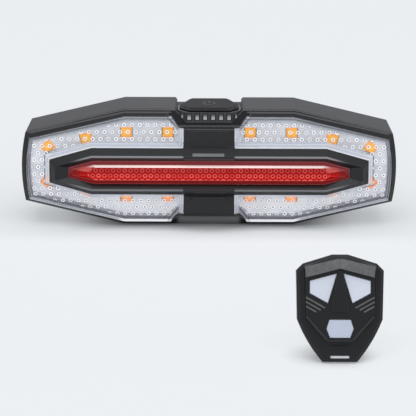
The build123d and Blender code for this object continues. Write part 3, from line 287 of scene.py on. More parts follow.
# Painted highlight: a pale line along the rim, fading towards the ends.
rim_highlight_band, line_soft = (-0.00074, -0.00046), 0.00008
line_starts, line_fades, line_left = (0.0120, 0.0122), (0.0580, 0.0565), 0.25
rim_highlight = times(tree, between(tree, rim, *rim_highlight_band, line_soft), ramp(tree, across, *line_starts),
             plus(tree, line_left, times(tree, 1.0 - line_left, ramp(tree, across, *line_fades))))
paint(tree, shader, rim_highlight, (0.085, 0.085, 0.090, 1.0))
# Painted shade: the bezel's ends are darkened.
shaded_ends = (0.0572, 0.0586)
paint(tree, shader, ramp(tree, across, *shaded_ends), (0.002, 0.002, 0.003, 1.0))
tab_face, tab_sides = (-0.01465, -0.01480), (0.0108, 0.0104)
tab_front = times(tree, ramp(tree, at["Y"], *tab_face), ramp(tree, across, *tab_sides))
# Painted highlights: two pale lines across the front of the upper tab.
for low, high, grey in ((0.03445, 0.03490, 0.12), (0.03360, 0.03405, 0.08)):
    paint(tree, shader, times(tree, tab_front, between(tree, at["Z"], low, high, line_soft)),
          (grey, grey, grey * 1.05, 1.0))
# Painted reflection of the floor: the front of the lower tab is paled towards its foot.
foot_height, foot_sides = (0.0048, 0.0026), (0.0108, 0.0088)
foot_reflection = times(tree, ramp(tree, at["Z"], *foot_height), ramp(tree, across, *foot_sides))
paint(tree, shader, foot_reflection, (0.20, 0.20, 0.205, 1.0))
inner_rim, lens_back = (-0.0024, -0.0026), -0.0125
inside = times(tree, ramp(tree, rim, *inner_rim), reckon(tree, "GREATER_THAN", at["Y"], lens_back))
tab_width, tab_top, tab_back, tab_rim = (0.0138, 0.0134), (0.0366, 0.0362), -0.0118, (-0.0017, -0.0019)
raised_tabs = times(tree, ramp(tree, across, *tab_width), ramp(tree, at["Z"], *tab_top),
                    reckon(tree, "GREATER_THAN", at["Y"], tab_back), ramp(tree, rim, *tab_rim))
paint(tree, shader, either(tree, inside, raised_tabs), (0.62, 0.63, 0.67, 1.0))
finish_node(bezel, "front_bezel")
finish_node(moulded("gasket_silicone", (0.20, 0.20, 0.21), 0.6), "lens_gasket")

# Centre frame and the two bridges over it: satin black covers, clipped on from the front.
# The frame's ridge carries a painted highlight, fainter below, that dies out towards the ends; the ends
# carry painted shade.
# A thin painted highlight crosses each bridge.
frame_black = moulded("frame_black", (0.011, 0.012, 0.014), 0.34, grain=3000.0, depth=0.12, drift=0.15,
                      edge=0.0003, wear_and_glint=0.8, worn_glint_tone=0.07, Specular_IOR_Level=0.40)
tree, shader, at = overlay(frame_black)
across = reckon(tree, "ABSOLUTE", at["X"])
upper = ramp(tree, at["Z"], middle_height - 0.001, middle_height + 0.001)
ridge_face, ridge_fades, upper_sooner, ridge_below = (-0.01788, -0.01804), (0.0490, 0.0420), 0.0035, 0.62
# Painted highlight: a pale line along the ridge, fainter below and fading towards the ends.
ridge_highlight = times(tree, ramp(tree, at["Y"], *ridge_face),
              ramp(tree, plus(tree, across, times(tree, upper, upper_sooner)), *ridge_fades),
              plus(tree, ridge_below, times(tree, upper, 1.0 - ridge_below)))
paint(tree, shader, ridge_highlight, (0.26, 0.26, 0.275, 1.0))
# Painted shade: the frame's ends are darkened.
frame_ends, end_shade = (0.0405, 0.0460), 0.75
paint(tree, shader, times(tree, ramp(tree, across, *frame_ends), end_shade), (0.004, 0.004, 0.005, 1.0))
finish_node(frame_black, "centre_frame")
bridge_black = moulded("bridge_black", (0.008, 0.008, 0.010), 0.40, grain=3000.0, depth=0.10, drift=0.10,
                       edge=0.0003, wear_and_glint=0.5, worn_glint_tone=0.06, Specular_IOR_Level=0.42)
tree, shader, at = overlay(bridge_black)
upper_highlight, lower_highlight, line_soft = (0.03290, 0.03335), (0.01265, 0.01295), 0.0001
lower_highlight_ends = (0.0052, 0.0049)
# Painted highlights: thin pale lines along the bridges' edges.
paint(tree, shader, between(tree, at["Z"], *upper_highlight, line_soft), (0.07, 0.07, 0.075, 1.0))
paint(tree, shader, times(tree, between(tree, at["Z"], *lower_highlight, line_soft),
                          ramp(tree, reckon(tree, "ABSOLUTE", at["X"]), *lower_highlight_ends)),
      (0.045, 0.045, 0.048, 1.0))
finish_node(bridge_black, "upper_bridge", "lower_bridge")

# Grey strip on the upper bridge: a painted highlight, laid as a small pale satin bar on the slope above the
# red lens.
# It is a thin moulded bar with softened edges.


def settle(obj):
    """Applies an object's place, turn and size, so that it sits at the origin."""
    bpy.ops.object.select_all(action="DESELECT")
    obj.select_set(True)
    bpy.context.view_layer.objects.active = obj
    bpy.ops.object.transform_apply(location=True, rotation=True, scale=True)


def block(name, size, place=(0.0, 0.0, 0.0), tilt=0.0):
    """A block to be shaped: a cube brought to its size, tilted about X and put in place."""
    bpy.ops.object.select_all(action="DESELECT")
    bpy.ops.mesh.primitive_cube_add(size=1.0, location=place)
    obj = bpy.context.object
    obj.name, obj.scale, obj.rotation_euler = name, size, (tilt, 0.0, 0.0)
    settle(obj)
    return obj


def soften(obj, width, segments=2):
    """Rounds an object's edges for good."""
    rounding = obj.modifiers.new("soft_edges", "BEVEL")
    rounding.width, rounding.segments = width, segments
    bpy.context.view_layer.objects.active = obj
    bpy.ops.object.modifier_apply(modifier="soft_edges")


slope_above_lens = math.radians(36.87)
# Painted highlight: a pale grey bar on the bridge's slope.
highlight_strip = block("bridge_highlight_strip", (0.0101, 0.00115, 0.00016), (-0.0002, -0.01825, 0.02536), slope_above_lens)
soften(highlight_strip, 0.00005)
highlight_strip.data.materials.append(moulded("highlight_strip_grey", (0.16, 0.16, 0.168), 0.40, grain=2200.0, drift=0.5,
                                     dust=0.4, wear_and_glint=0.5, worn_glint_tone=0.34))
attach(highlight_strip, "light")

# Clear lenses: polished polycarbonate, lipped at the rim and sloped up round the black frame.
# Rows of small ring-shaped optics cover their fronts, their rings and lips given a painted glow; painted
# highlights pick out edges, lips and the wall's crests, and painted shade runs in dark lines and under the
# upper rim.
# The bezel holds them down on the gasket, and its tabs bite into them at the middle.
pip_group, given, out = new_group(
    "optic_pips",
    [("Position", "v"), ("Pitch", "f"), ("Row", "f"), ("Lowest", "f"), ("Outer", "f"), ("Inner", "f"),
     ("Soft", "f")],
    [("Ring", "f"), ("Heart", "f"), ("Halo", "f"), ("Random", "f")])
at = split(pip_group, given["Position"])
two_rows = times(pip_group, given["Row"], 2.0)
lattices = []
for half in (0.0, 0.5):
    columns = plus(pip_group, reckon(pip_group, "DIVIDE", at["X"], given["Pitch"]), half)
    rows = reckon(pip_group, "DIVIDE", minus(pip_group, at["Z"], given["Lowest"]), two_rows)
    nearest, squares = [], []
    for count, step in ((columns, given["Pitch"]), (plus(pip_group, rows, half), two_rows)):
        nearest.append(reckon(pip_group, "FLOOR", plus(pip_group, count, 0.5)))
        off = times(pip_group, minus(pip_group, count, nearest[-1]), step)
        squares.append(times(pip_group, off, off))
    cell = add_node(pip_group, "ShaderNodeCombineXYZ", Y=half)
    pip_group.links.new(nearest[0], cell.inputs["X"])
    pip_group.links.new(nearest[1], cell.inputs["Z"])
    chance = pip_group.nodes.new("ShaderNodeTexWhiteNoise")
    pip_group.links.new(cell.outputs["Vector"], chance.inputs["Vector"])
    lattices.append((reckon(pip_group, "SQRT", plus(pip_group, *squares)), chance.outputs["Value"]))
(radius, chance), (other_radius, other_chance) = lattices
nearer = reckon(pip_group, "LESS_THAN", radius, other_radius)
radius = reckon(pip_group, "MINIMUM", radius, other_radius)
halo_reach = 1.3
ring_disc, heart_disc, halo_disc = [
    ramp(pip_group, radius, plus(pip_group, edge, given["Soft"]), minus(pip_group, edge, given["Soft"]))
    for edge in (given["Outer"], given["Inner"], times(pip_group, given["Outer"], halo_reach))]
pip_group.links.new(minus(pip_group, halo_disc, ring_disc), out["Halo"])
pip_group.links.new(minus(pip_group, ring_disc, heart_disc), out["Ring"])
pip_group.links.new(heart_disc, out["Heart"])
pip_group.links.new(plus(pip_group, times(pip_group, chance, nearer),
                         times(pip_group, other_chance, minus(pip_group, 1.0, nearer))), out["Random"])


def layer_colours(tree, base, layers):
    """A colour with others laid over it in turn, each through its own mask."""
    for mask, colour in layers:
        base = blend_colours(tree, mask, base, colour)
    return base


unlit = (0.0, 0.0, 0.0, 1.0)
clear, tree, shader, here = new_material("clear_polycarbonate")
pips = add_group(tree, pip_group, Pitch=0.0025, Row=0.00235, Lowest=0.01962, Outer=0.00069, Inner=0.00030,
                 Soft=0.00008)
edges = add_group(tree, edge_group, Radius=0.00022)
noise = add_node(tree, "ShaderNodeTexNoise", Scale=500.0, Detail=3.0)
tree.links.new(here, noise.inputs["Vector"])
at = split(tree, here)
facing = split(tree, tree.nodes.new("ShaderNodeNewGeometry").outputs["Normal"])
span = reckon(tree, "ABSOLUTE", at["X"])
rim = from_outline(tree, here, *light_sizes)

lens_front, sloping, lip_depth = -0.0127, (0.97, 0.75), (-0.0127, -0.0129)
slope = ramp(tree, reckon(tree, "ABSOLUTE", facing["Y"]), *sloping)
front_face = times(tree, reckon(tree, "LESS_THAN", at["Y"], lens_front), minus(tree, 1.0, slope))
lip_rim, lip_ends, lip_lights, lip_above = (-0.00245, -0.00230), (0.0579, 0.0570), (0.0190, 0.0120), 0.25
lip = times(tree, ramp(tree, rim, *lip_rim), ramp(tree, at["Y"], *lip_depth), ramp(tree, span, *lip_ends),
            plus(tree, lip_above, times(tree, 1.0 - lip_above, ramp(tree, at["Z"], *lip_lights))))
slope_starts, slope_dims = (0.0272, 0.0300), 0.62
lip = times(tree, lip, minus(tree, 1.0, times(tree, ramp(tree, span, *slope_starts), slope_dims)))

frame_sizes, bridge_side = (0.0509, 0.0076, 0.0375, 0.00375), 0.0081
wall = reckon(tree, "MINIMUM", from_outline(tree, here, *frame_sizes), minus(tree, span, bridge_side))
first_crest, crests_per_metre, crests_end = 0.0003, 7850.0, (0.0015, 0.0013)
crests = reckon(tree, "COSINE", times(tree, minus(tree, wall, first_crest), crests_per_metre))
crests = times(tree, ramp(tree, crests, 0.0, 1.0), ramp(tree, wall, *crests_end))
# Painted shade: a dark line along the wall round the frame.
wall_shade_starts, wall_shade_ends, wall_shade_at_ends = (0.00145, 0.00165), (0.00190, 0.00172), (0.0475, 0.0500)
wall_shade_line = times(tree, ramp(tree, wall, *wall_shade_starts), ramp(tree, wall, *wall_shade_ends),
             ramp(tree, span, *wall_shade_at_ends))

# The pips mirror about the middle; below the frame their rows are a tenth closer and a little aside.
frame_foot, sideways, sideways_below, squeeze, squeeze_start = 0.0117, 0.000375, 0.0003, 0.106, 0.000769
below = reckon(tree, "LESS_THAN", at["Z"], frame_foot)
closer = plus(tree, times(tree, at["Z"], squeeze), squeeze_start)
mirrored = tree.nodes.new("ShaderNodeCombineXYZ")
tree.links.new(plus(tree, span, sideways, times(tree, below, sideways_below)), mirrored.inputs["X"])
tree.links.new(plus(tree, at["Z"], times(tree, below, closer)), mirrored.inputs["Z"])
tree.links.new(mirrored.outputs["Vector"], pips.inputs["Position"])

tab_corner, tab_turn, tab_edge, tab_inner = (0.0095, 0.0143), (0.786, 0.619), 0.0121, 0.0097
rise = reckon(tree, "ABSOLUTE", minus(tree, at["Z"], middle_height))
tab = minus(tree, times(tree, minus(tree, span, tab_corner[0]), tab_turn[0]),
            times(tree, minus(tree, rise, tab_corner[1]), tab_turn[1]))
tab = either(tree, tab, minus(tree, span, tab_edge))
tab = either(tree, tab, minus(tree, tab_corner[1], rise))
beside = reckon(tree, "GREATER_THAN", span, tab_inner)
# Painted shade: dark lines beside the lip round each tab notch and inside the upper rim.
tab_lip_band, tab_shade_band = (-0.0002, 0.00075, 0.0001), (0.00095, 0.00120, 0.00008)
rim_band = (-0.00230, -0.00198, 0.00008)
tab_lip = times(tree, beside, between(tree, tab, *tab_lip_band))
tab_shade_line = times(tree, beside, between(tree, tab, *tab_shade_band))
# Painted shadow: the band under the upper rim is darkened.
shadow_heights, shadow_reach, shadow_share = (0.0225, 0.0290), (-0.0046, -0.0024), 0.45
upper = ramp(tree, at["Z"], *shadow_heights)
rim_shade_line = either(tree, tab_shade_line, times(tree, upper, between(tree, rim, *rim_band)))
shade = times(tree, upper, shadow_share, ramp(tree, rim, *shadow_reach))

least_pip, pips_end, pips_at_tab = 0.65, (-0.0031, -0.0035), (0.0016, 0.0019)
strength = times(tree, plus(tree, times(tree, pips.outputs["Random"], 1.0 - least_pip), least_pip),
                 front_face, ramp(tree, rim, *pips_end), ramp(tree, tab, *pips_at_tab))
ring, heart, halo = [times(tree, pips.outputs[part], strength) for part in ("Ring", "Heart", "Halo")]
clearest, cloudiest, shade_tint, lip_glow = 0.05, 0.95, 1.6, 0.75
cover = plus(tree, times(tree, slope, 0.70), clearest)
for mask, share in ((ring, 0.75), (heart, 0.85), (halo, 0.34), (edges.outputs["Edge"], 0.60),
                    (either(tree, lip, wall_shade_line), 0.80), (shade, 1.0), (either(tree, tab_lip, rim_shade_line), 0.75)):
    cover = plus(tree, cover, times(tree, mask, share))
tree.links.new(reckon(tree, "MINIMUM", cover, cloudiest), shader.inputs["Alpha"])
# Painted highlights: the wall's crests, every edge and the lips are near white, and the lip round each tab
# notch is pale grey.
highlight_white = (0.97, 0.98, 1.0, 1.0)
base = blend_colours(tree, noise.outputs["Fac"], (0.60, 0.65, 0.77, 1.0), (0.78, 0.82, 0.94, 1.0))
base = layer_colours(tree, base, (
    (times(tree, slope, crests), highlight_white),
    (either(tree, edges.outputs["Edge"], lip), highlight_white),
    (times(tree, shade, shade_tint), (0.22, 0.23, 0.26, 1.0)),
    (tab_lip, (0.48, 0.49, 0.54, 1.0)),
    (either(tree, wall_shade_line, rim_shade_line), (0.10, 0.105, 0.12, 1.0)),
    (ring, (1.0, 1.0, 1.0, 1.0)),
    (heart, (0.16, 0.16, 0.18, 1.0)),
    (halo, (0.20, 0.20, 0.23, 1.0))))
tree.links.new(base, shader.inputs["Base Color"])
# Painted glow on the rings and the lips.
glow = blend_colours(tree, either(tree, ring, times(tree, lip, lip_glow)), unlit, (0.28, 0.28, 0.29, 1.0))
tree.links.new(glow, shader.inputs["Emission Color"])
tree.links.new(edges.outputs["Normal"], shader.inputs["Normal"])
set_shader(shader, Emission_Strength=1.0, Roughness=0.10)
finish_node(clear, "left_lens", "right_lens")

# Reflector: the silvered plate behind the clear lenses, with a softly hammered face.
# It is vacuum-metallised plastic, with a painted glow that brightens towards the frame above it and towards
# the bottom below it.
silver, tree, shader, here = new_material("reflector_silver")
hammer = add_node(tree, "ShaderNodeTexVoronoi", Scale=1100.0)
cloud = add_node(tree, "ShaderNodeTexNoise", Scale=300.0, Detail=5.0)
bump = add_node(tree, "ShaderNodeBump", Strength=0.15, Distance=0.0002)
tree.links.new(here, hammer.inputs["Vector"])
tree.links.new(here, cloud.inputs["Vector"])
cloudy = ramp(tree, cloud.outputs["Fac"], 0.30, 0.70)
tree.links.new(blend_colours(tree, cloudy, (0.78, 0.79, 0.82, 1.0), (0.96, 0.96, 0.98, 1.0)),
               shader.inputs["Base Color"])
tree.links.new(hammer.outputs["Distance"], bump.inputs["Height"])
tree.links.new(bump.outputs["Normal"], shader.inputs["Normal"])
# Painted glow: brighter towards the frame in the upper part, and towards the bottom in the lower part.
height, lit_above, lit_below = split(tree, here)["Z"], (0.0350, 0.0275), (0.0115, 0.0050)
above = times(tree, ramp(tree, height, *lit_above), reckon(tree, "GREATER_THAN", height, middle_height))
lit = either(tree, above, ramp(tree, height, *lit_below))
tree.links.new(blend_colours(tree, lit, (0.60, 0.62, 0.66, 1.0), (0.90, 0.91, 0.93, 1.0)),
               shader.inputs["Emission Color"])
set_shader(shader, Emission_Strength=0.32, Metallic=0.15, Roughness=0.42)
finish_node(silver, "reflector")

# Red lens: a cut bar of clear red polycarbonate on a thin flange, with smaller, closer pips.
# It has a painted glow, painted highlights on its upper cut, end facets and edges, and a painted reflection
# on the upper flange.
red, tree, shader, here = new_material("red_polycarbonate")
pips = add_group(tree, pip_group, Pitch=0.00185, Row=0.00174, Lowest=0.01843, Outer=0.00070, Inner=0.00036,
                 Soft=0.00014)
tree.links.new(here, pips.inputs["Position"])
edges = add_group(tree, edge_group, Radius=0.0002)
at = split(tree, here)
span = reckon(tree, "ABSOLUTE", at["X"])
upwards = split(tree, tree.nodes.new("ShaderNodeNewGeometry").outputs["Normal"])["Z"]
bar_front, flange_depth, lower_half = -0.01825, (-0.01675, -0.01655), (0.0200, 0.0180)
bar_face = reckon(tree, "LESS_THAN", at["Y"], bar_front)
flange = ramp(tree, at["Y"], *flange_depth)
lower = ramp(tree, at["Z"], *lower_half)
cut_facing, cut_ends, cut_depth = (0.75, 0.93), (0.0400, 0.0366), (-0.0166, -0.0171)
upper_cut = times(tree, ramp(tree, upwards, *cut_facing), ramp(tree, span, *cut_ends),
                  ramp(tree, at["Y"], *cut_depth))
least_ring, ring_varies, ring_above, ring_below = 0.28, 0.40, 0.55, 0.50
pale = times(tree, pips.outputs["Ring"],
             plus(tree, least_ring, times(tree, pips.outputs["Random"], ring_varies)),
             plus(tree, times(tree, lower, ring_below), ring_above), bar_face)
gem_ends, gem_facing, tip_ends = (0.0366, 0.0380), (0.25, 0.60), (0.0400, 0.0430)
gem_share, tip_share, heart_share, edge_share, dimming = 0.40, 0.65, 0.6, 0.42, 0.4
# Painted highlights: the upward end facets, the upper cut and the edges are drawn paler.
gem_highlight = times(tree, ramp(tree, span, *gem_ends), ramp(tree, upwards, *gem_facing), gem_share)
tips = times(tree, ramp(tree, span, *tip_ends), tip_share)
# Painted reflection: the upper half of the flange is paler and pinker. The lower half of the bar is drawn
# brighter red, and its tips darker.
flange_red = blend_colours(tree, lower, (0.17, 0.030, 0.036, 1.0), (0.15, 0.004, 0.005, 1.0))
base = blend_colours(tree, lower, (0.28, 0.001, 0.002, 1.0), (0.42, 0.003, 0.003, 1.0))
base = layer_colours(tree, base, (
    (times(tree, pips.outputs["Heart"], bar_face, heart_share), (0.10, 0.0, 0.001, 1.0)),
    (pale, (1.0, 0.17, 0.14, 1.0)),
    (gem_highlight, (0.85, 0.22, 0.20, 1.0)),
    (tips, (0.10, 0.008, 0.010, 1.0)),
    (flange, flange_red),
    (upper_cut, (1.0, 0.82, 0.79, 1.0)),
    (times(tree, edges.outputs["Edge"], edge_share), (1.0, 0.38, 0.33, 1.0))))
tree.links.new(base, shader.inputs["Base Color"])
# Painted glow, with a painted highlight along the upper cut.
shine_fades = (0.0390, 0.0120)
shine = times(tree, upper_cut, ramp(tree, span, *shine_fades))
glow = blend_colours(tree, shine, blend_colours(tree, dimming, base, unlit), (1.0, 0.72, 0.69, 1.0))
tree.links.new(glow, shader.inputs["Emission Color"])
bump = add_node(tree, "ShaderNodeBump", Strength=0.12, Distance=0.00015)
tree.links.new(times(tree, pips.outputs["Ring"], bar_face), bump.inputs["Height"])
tree.links.new(edges.outputs["Normal"], bump.inputs["Normal"])
tree.links.new(bump.outputs["Normal"], shader.inputs["Normal"])
set_shader(shader, Emission_Strength=0.40, Specular_IOR_Level=0.06, Roughness=0.10, Coat_Weight=0.12,
           Coat_Roughness=0.04)
finish_node(red, "red_lens")

# Amber LEDs: surface-mount packages with a pale bezel, a resin face and a bright die under it.
# One is modelled and copied to the sixteen places of the plain blocks that it replaces.
# Those below the frame are tinted a deeper amber, as they look in the photograph.
led_places = [(0.0132, 0.0107, 0), (0.02652, 0.0107, 0), (0.03948, 0.0087, 14), (0.05178, 0.0058, 38)]
led_depth = -0.00653
led_width, led_thickness, led_height, tint_border = 0.0035, 0.00185, 0.0031, 0.0005
resin = moulded("amber_resin", (1.0, 0.42, 0.012), 0.35, depth=0.05, wear_and_glint=0.0, Coat_Weight=0.4,
                Emission_Color=(1.0, 0.46, 0.012, 1.0), Emission_Strength=0.65)
die = moulded("amber_die", (1.0, 0.55, 0.15), 0.4, depth=0.05, wear_and_glint=0.0,
              Emission_Color=(1.0, 0.58, 0.18, 1.0), Emission_Strength=0.8)
package = moulded("amber_package", (1.0, 0.45, 0.08), 0.45, depth=0.05, wear_and_glint=0.0,
                  Emission_Color=(1.0, 0.42, 0.04, 1.0), Emission_Strength=0.45)
for material in (resin, package):
    tree, shader, at = overlay(material)
    lower = ramp(tree, at["Z"], middle_height, middle_height - tint_border)
    paint(tree, shader, lower, (1.0, 0.36, 0.09, 1.0))
    glow = tuple(shader.inputs["Emission Color"].default_value)
    tree.links.new(blend_colours(tree, lower, glow, (1.0, 0.31, 0.07, 1.0)), shader.inputs["Emission Color"])


def select_front(obj, reach):
    """Selects the small faces at the middle of a front, in edit mode's face select."""
    bpy.ops.object.mode_set(mode="OBJECT")
    for face in obj.data.polygons:
        face.select = face.normal.y < -0.9 and face.center.length < reach
    bpy.ops.object.mode_set(mode="EDIT")


def copy_to(obj, place):
    """A copy with its own mesh, settled in its place."""
    copy = bpy.data.objects.new(obj.name + "_copy", obj.data.copy())
    bpy.context.collection.objects.link(copy)
    copy.matrix_world = place
    settle(copy)
    return copy


def join(objects, name):
    """Makes several objects one piece."""
    bpy.ops.object.select_all(action="DESELECT")
    for obj in objects:
        obj.select_set(True)
    bpy.context.view_layer.objects.active = objects[0]
    bpy.ops.object.join()
    bpy.context.object.name = name
    return bpy.context.object


led = block("led", (led_width, led_thickness, led_height))
for material in (package, resin, die):
    led.data.materials.append(material)
bpy.ops.object.mode_set(mode="EDIT")
bpy.ops.mesh.select_mode(type="FACE")
for width, sink in ((0.00035, -0.00008), (0.00085, 0.00006)):
    select_front(led, 0.0011)
    bpy.ops.mesh.inset(thickness=width, depth=sink)
bpy.ops.object.mode_set(mode="OBJECT")
die_reach, resin_reach = 0.1, 0.75
for face in led.data.polygons:
    reach = max(abs(face.center.x) / (led_width / 2), abs(face.center.z) / (led_height / 2))
    if face.normal.y < -0.5:
        face.material_index = 2 if reach < die_reach else (1 if reach < resin_reach else 0)
soften(led, 0.00012)
amber = join([copy_to(led, Matrix.Translation((side * across, led_depth, middle_height + level * up))
                      @ Matrix.Rotation(math.radians(side * level * turn), 4, "Y"))
              for across, up, turn in led_places for side in (1, -1) for level in (1, -1)],
             "amber_led_packages")
bpy.data.objects.remove(led)
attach(amber, "light")
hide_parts("amber_leds")

# Red LEDs and the circuit boards behind the lenses, with chips, screws and the push switch.
# Green solder mask over copper, black epoxy and plain zinc; the battery lies on a foam pad.
finish_node(moulded("red_resin", (0.85, 0.05, 0.04), 0.35, Emission_Color=(1.0, 0.05, 0.03, 1.0),
                    Emission_Strength=0.4), "red_leds")
finish_node(moulded("solder_mask", (0.02, 0.13, 0.05), 0.35, grain=900.0, depth=0.1, Coat_Weight=0.3),
            "led_board", "charge_board", "remote_board")
finish_node(moulded("black_epoxy", (0.018, 0.018, 0.018), 0.5),
            "board_chips", "push_switch", "remote_switches")
finish_node(moulded("zinc_screw", (0.55, 0.55, 0.57), 0.35, grain=1200.0, Metallic=1.0),
            "board_screws", "remote_screws", "remote_cell_contact")
finish_node(moulded("cell_steel", (0.72, 0.72, 0.73), 0.25, grain=800.0, Metallic=1.0), "remote_cell")
finish_node(moulded("battery_foil", (0.62, 0.63, 0.66), 0.32, grain=500.0, Metallic=0.9), "battery")
finish_node(moulded("foam", (0.10, 0.10, 0.105), 0.9, grain=1500.0, depth=0.8), "battery_pad")

# Ribbed surround of the power button: dark nylon, clipped into the channel on top of the housing.
# Its front has a row of slots in painted shade, a pale wedge in each as a painted highlight, and a narrow
# one at each corner.
surround = moulded("surround_nylon", (0.030, 0.030, 0.032), 0.50, grain=2400.0, drift=0.2, dust=0.2,
                   wear_and_glint=0.7, worn_glint_tone=0.16)
tree, shader, at = overlay(surround)
# Painted shade: the slots between the ribs are darkened.
slot_pitch, slot_sides, slot_heights = 0.00254, (0.00104, 0.00092), (0.03530, 0.0378)
row_ends, surround_front = (0.0079, 0.0077), -0.0118
count = reckon(tree, "DIVIDE", at["X"], slot_pitch)
beside = minus(tree, minus(tree, count, reckon(tree, "FLOOR", count)), 0.5)
beside = times(tree, reckon(tree, "ABSOLUTE", beside), slot_pitch)
slot_shade = times(tree, ramp(tree, beside, *slot_sides), between(tree, at["Z"], *slot_heights, 0.0001),
                   ramp(tree, reckon(tree, "ABSOLUTE", at["X"]), *row_ends),
                   reckon(tree, "LESS_THAN", at["Y"], surround_front))
paint(tree, shader, slot_shade, (0.004, 0.004, 0.005, 1.0))
finish_node(surround, "button_surround")


def select_points(obj, wanted):
    """Selects the points that a test picks, and stays in edit mode."""
    bpy.ops.object.mode_set(mode="EDIT")
    bpy.ops.mesh.select_mode(type="VERT")
    bpy.ops.mesh.select_all(action="DESELECT")
    bpy.ops.object.mode_set(mode="OBJECT")
    for point in obj.data.vertices:
        point.select = wanted(point.co)
    bpy.ops.object.mode_set(mode="EDIT")


# Painted highlight: the wedges are pale grey, with painted shade darkening their tops.
scoop_highlight = moulded("scoop_highlight", (0.44, 0.44, 0.45), 0.38, grain=2600.0, drift=0.3, dust=0.2, wear_and_glint=0.0)
tree, shader, at = overlay(scoop_highlight)
scoop_top_shade = (0.0359, 0.0375)
paint(tree, shader, ramp(tree, at["Z"], *scoop_top_shade), (0.012, 0.012, 0.013, 1.0))
scoop_width, scoop_depth, scoop_height, scoop_middle = 0.00112, 0.000435, 0.00196, 0.03660
scoop_lean = 0.00041
scoop = block("scoop", (scoop_width, scoop_depth, scoop_height), (0.0, -scoop_depth / 2, 0.0))
select_points(scoop, lambda place: place.y < -0.0004 and place.z > 0.0)
bpy.ops.transform.translate(value=(0.0, scoop_lean, 0.0))
bpy.ops.object.mode_set(mode="OBJECT")
soften(scoop, 0.00003)
scoop.data.materials.append(scoop_highlight)
scoop_places = [(slot_pitch * (number - 2.5), -0.012985, 0.0, 1.0) for number in range(6)]
scoop_places += [(side * 0.00850, -0.01218, side * 25.8, 0.5) for side in (1, -1)]
scooped = join([copy_to(scoop, Matrix.Translation((across, depth, scoop_middle))
                        @ Matrix.Rotation(math.radians(turn), 4, "Z")
                        @ Matrix.Diagonal((share, 1.0, 1.0, 1.0)))
                for across, depth, turn, share in scoop_places], "surround_scoops")
bpy.data.objects.remove(scoop)
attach(scooped, "light")

# Power button: a satin black cap on a white plunger, with painted shade on the bevel round its top.
# It carries the usual ring-and-bar power sign, moulded a little proud.
button = moulded("button_black", (0.005, 0.005, 0.006), 0.50, grain=3000.0, depth=0.10, wear_and_glint=0.6, worn_glint_tone=0.10,
                 IOR=1.22, Specular_IOR_Level=0.30)
tree, shader, at = overlay(button)
# Painted shade: the bevel is painted darker than the cap's top.
bevel_heights = (0.03905, 0.03985)
paint(tree, shader, between(tree, at["Z"], *bevel_heights, 0.0001), (0.004, 0.004, 0.005, 1.0))
finish_node(button, "power_button")
finish_node(moulded("plunger_white", (0.75, 0.75, 0.73), 0.5), "switch_plunger")
sign_middle, sign_gap, sign_flatness = Vector((0.0, -0.0058, 0.03902)), 0.00062, 0.35
bpy.ops.object.select_all(action="DESELECT")
bpy.ops.mesh.primitive_torus_add(major_segments=64, minor_segments=10, major_radius=0.00175,
                                 minor_radius=0.00017, location=sign_middle)
ring = bpy.context.object
ring.scale = (1.0, 1.0, sign_flatness)
settle(ring)
select_points(ring, lambda place: abs(place.x) < sign_gap and place.y > sign_middle.y)
bpy.ops.mesh.delete(type="VERT")
bpy.ops.mesh.select_all(action="SELECT")
bpy.ops.mesh.select_mode(type="EDGE")
bpy.ops.mesh.region_to_loop()
bpy.ops.mesh.edge_face_add()
bpy.ops.object.mode_set(mode="OBJECT")
bar = block("sign_bar", (0.00034, 0.0018, 0.00012), sign_middle + Vector((0.0, 0.0014, 0.0)))
soften(bar, 0.00005)
sign = join([ring, bar], "power_sign")
sign.data.materials.clear()
sign.data.materials.append(moulded("sign_black", (0.006, 0.006, 0.006), 0.25, wear_and_glint=0.2))
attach(sign, "power_button")

# Charging socket and its rubber cover, on the back: a steel shell and a soft black flap.
# The cover is pressed in flush, so only its notch and its outline show.
finish_node(moulded("socket_steel", (0.62, 0.62, 0.64), 0.28, Metallic=1.0), "usb_socket")
rubber = moulded("soft_rubber", (0.030, 0.030, 0.031), 0.75, grain=1500.0, depth=0.35, drift=0.3, dust=0.3)
finish_node(rubber, "usb_cover")

# Seat-post bracket on its quarter-turn hub, with a rubber pad and a silicone strap.
# Black glass-filled nylon, and silicone that picks up a little dust.
black_nylon = moulded("black_nylon", (0.034, 0.034, 0.036), 0.48, grain=1700.0, depth=0.35, drift=0.25,
                      dust=0.25)
finish_node(black_nylon, "twist_hub", "seat_post_bracket")
finish_node(rubber, "saddle_pad", "remote_bar_pad")
finish_node(moulded("strap_silicone", (0.045, 0.045, 0.047), 0.58, grain=900.0, depth=0.25, drift=0.35,
                    dust=0.2), "post_strap")

# Remote: two black shells screwed together, the front one with a brow and ribs round three keys.
# The shells are satin black; the brow's facets and the rib tops carry a painted sheen, with painted shade
# along the brow's middle crease.
lean = math.radians(18.0)
remote_foot = Vector((0.0378, -0.1438, 0.0))
up_the_face = Vector((0.0, math.sin(lean), math.cos(lean)))
out_of_face = Vector((0.0, -math.cos(lean), math.sin(lean)))
shell_black = moulded("remote_black", (0.008, 0.008, 0.010), 0.38, grain=2600.0, depth=0.20, drift=0.2,
                      dust=0.2, wear_and_glint=0.6, worn_glint_tone=0.055, Specular_IOR_Level=0.28)
front_black = shell_black.copy()
front_black.name = "remote_front_black"
tree = front_black.node_tree
shader, here = tree.nodes["Principled BSDF"], tree.nodes["Texture Coordinate"].outputs["Object"]
from_foot = tree.nodes.new("ShaderNodeVectorMath")
from_foot.operation = "SUBTRACT"
from_foot.inputs[1].default_value = remote_foot
tree.links.new(here, from_foot.inputs[0])
face_axes = []
